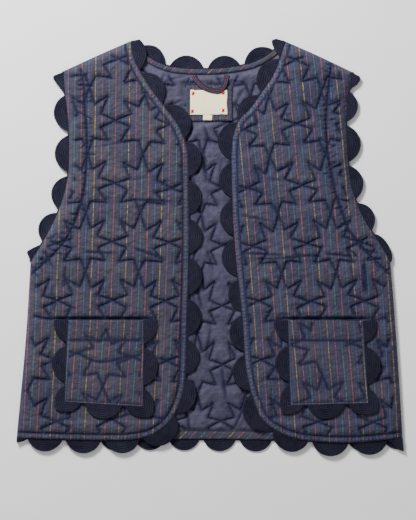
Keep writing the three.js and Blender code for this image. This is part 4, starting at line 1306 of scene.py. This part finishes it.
def small_cloth(name, box, bed, thick, waves, finish, seed):
    """A small rectangle of cloth whose sides wander and whose middle is a little wavy."""
    x0, x1, y0, y1 = box
    corners = np.array([(x0, y0), (x1, y0), (x1, y1), (x0, y1), (x0, y0)], float)
    outline = even(corners, 0.8)[:-1]
    strays = [ripples(outline, 14, seed + k) for k in (0, 1)]
    outline = outline + 0.25 * np.column_stack(strays)
    edges = Near(outline)

    def top(where):
        away = edges.away(where)
        wavy = waves * ripples(where, 22, seed + 2) * smooth(away / 4)
        return bed + thick * (0.55 + 0.45 * smooth(away / 1.2)) + wavy

    def shade(where):
        away = edges.away(where)
        return 0.5 + 0.5 * smooth(away / 1.0)

    points = filled(outline, [field(outline, 1.0)], [0.8])
    return sheet_object(name, outline, points, top, level(bed), finish, shade, 5.0)


PATCH_BOX, LABEL_BOX = (-31, 28.6, 162.5, 208.6), (-25.7, 22.1, 170.6, 202.5)
patch = small_cloth("label_backing", PATCH_BOX, PATCH_BED, 0.9, 0.12, striped["patch"], 50)
label = small_cloth("label_tape", LABEL_BOX, LABEL_BED, 0.8, 0.14, label_cloth, 54)
tab = small_cloth("size_tape", (-9.1, 2.6, 163.4, 170.2), LABEL_BED, 0.7, 0.05, label_cloth, 58)
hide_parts("label_size")
TACKS = [(-21.7, 198.3), (17.4, 198.9), (-22.9, 175.1), (17.2, 176.3)]
tack_rows = []
for x, y in TACKS:
    for lean in (-1, 1):
        leg = even(np.array([(x - 2.1, y - 2.1 * lean), (x + 2.1, y + 2.1 * lean)]), ROW_STEP)
        tack_rows += [leg + (0, d) for d in (-0.7, -0.25, 0.25, 0.7)]
tacks = stitches("tacks_label", tack_rows, level(LABEL_BED + 1.1), red_thread, 5.4, 5.7, 0.9)

as_cloth("patch_label", (59.6, 46.1))
as_cloth("label_main", (47.8, 31.9), None)
rows = [row for row in back_panel.rows if shows(row).any() and back_panel.pressed(row).min() < 0.9]
back_threads = stitches("stitches_back", rows, lining_top)
flat, area = cut_size(back_outline)
as_cloth("back", flat, area)
as_cloth(
    "back", flat, area,
)

# %% [markdown]
# ## Floor, light and camera
# The camera looks straight down on a pale floor, in soft light that comes a little from the upper
# left. An area light gives soft shadows to the lower right.

# %% Stage
floor_finish = Finish("pale floor", 0.8)
spots = floor_finish.noise((0.01, 0.01, 0), detail=2)
floor_finish.paint(floor_finish.mixed(spots, tone("#ececee"), tone("#f4f4f5")))
FLOOR_SIZE, FLOOR_DROP = 6, 0.0004  # in metres, like the places of the lamp and the camera
bpy.ops.mesh.primitive_plane_add(size=FLOOR_SIZE, location=(0, 0, -FLOOR_DROP))
floor = bpy.context.object
floor.name = "floor"
floor.data.materials.append(floor_finish.material)

world = bpy.data.worlds.new("studio")
bpy.context.scene.world = world
world.use_nodes = True
sky = world.node_tree.nodes["Background"].inputs
sky["Color"].default_value = (1, 1, 1, 1)
sky["Strength"].default_value = 0.52

key = bpy.data.lights.new("key", "AREA")
key.size, key.energy = 0.45, 96
key_lamp = bpy.data.objects.new("key", key)
key_lamp.location = (-0.85, 1.45, 0.95)
key_lamp.rotation_euler = (-key_lamp.location).to_track_quat("-Z", "Y").to_euler()
bpy.context.collection.objects.link(key_lamp)

camera = bpy.data.cameras.new("camera")
CAMERA_HIGH, VIEW_TALL = 2.5, 0.676
camera.sensor_width = 36
camera.lens = camera.sensor_width * CAMERA_HIGH / VIEW_TALL
print("lens", round(camera.lens, 1), "mm")
camera_rig = bpy.data.objects.new("camera", camera)
camera_rig.location = (-0.0026, -0.0182, CAMERA_HIGH)
bpy.context.collection.objects.link(camera_rig)
bpy.context.scene.camera = camera_rig
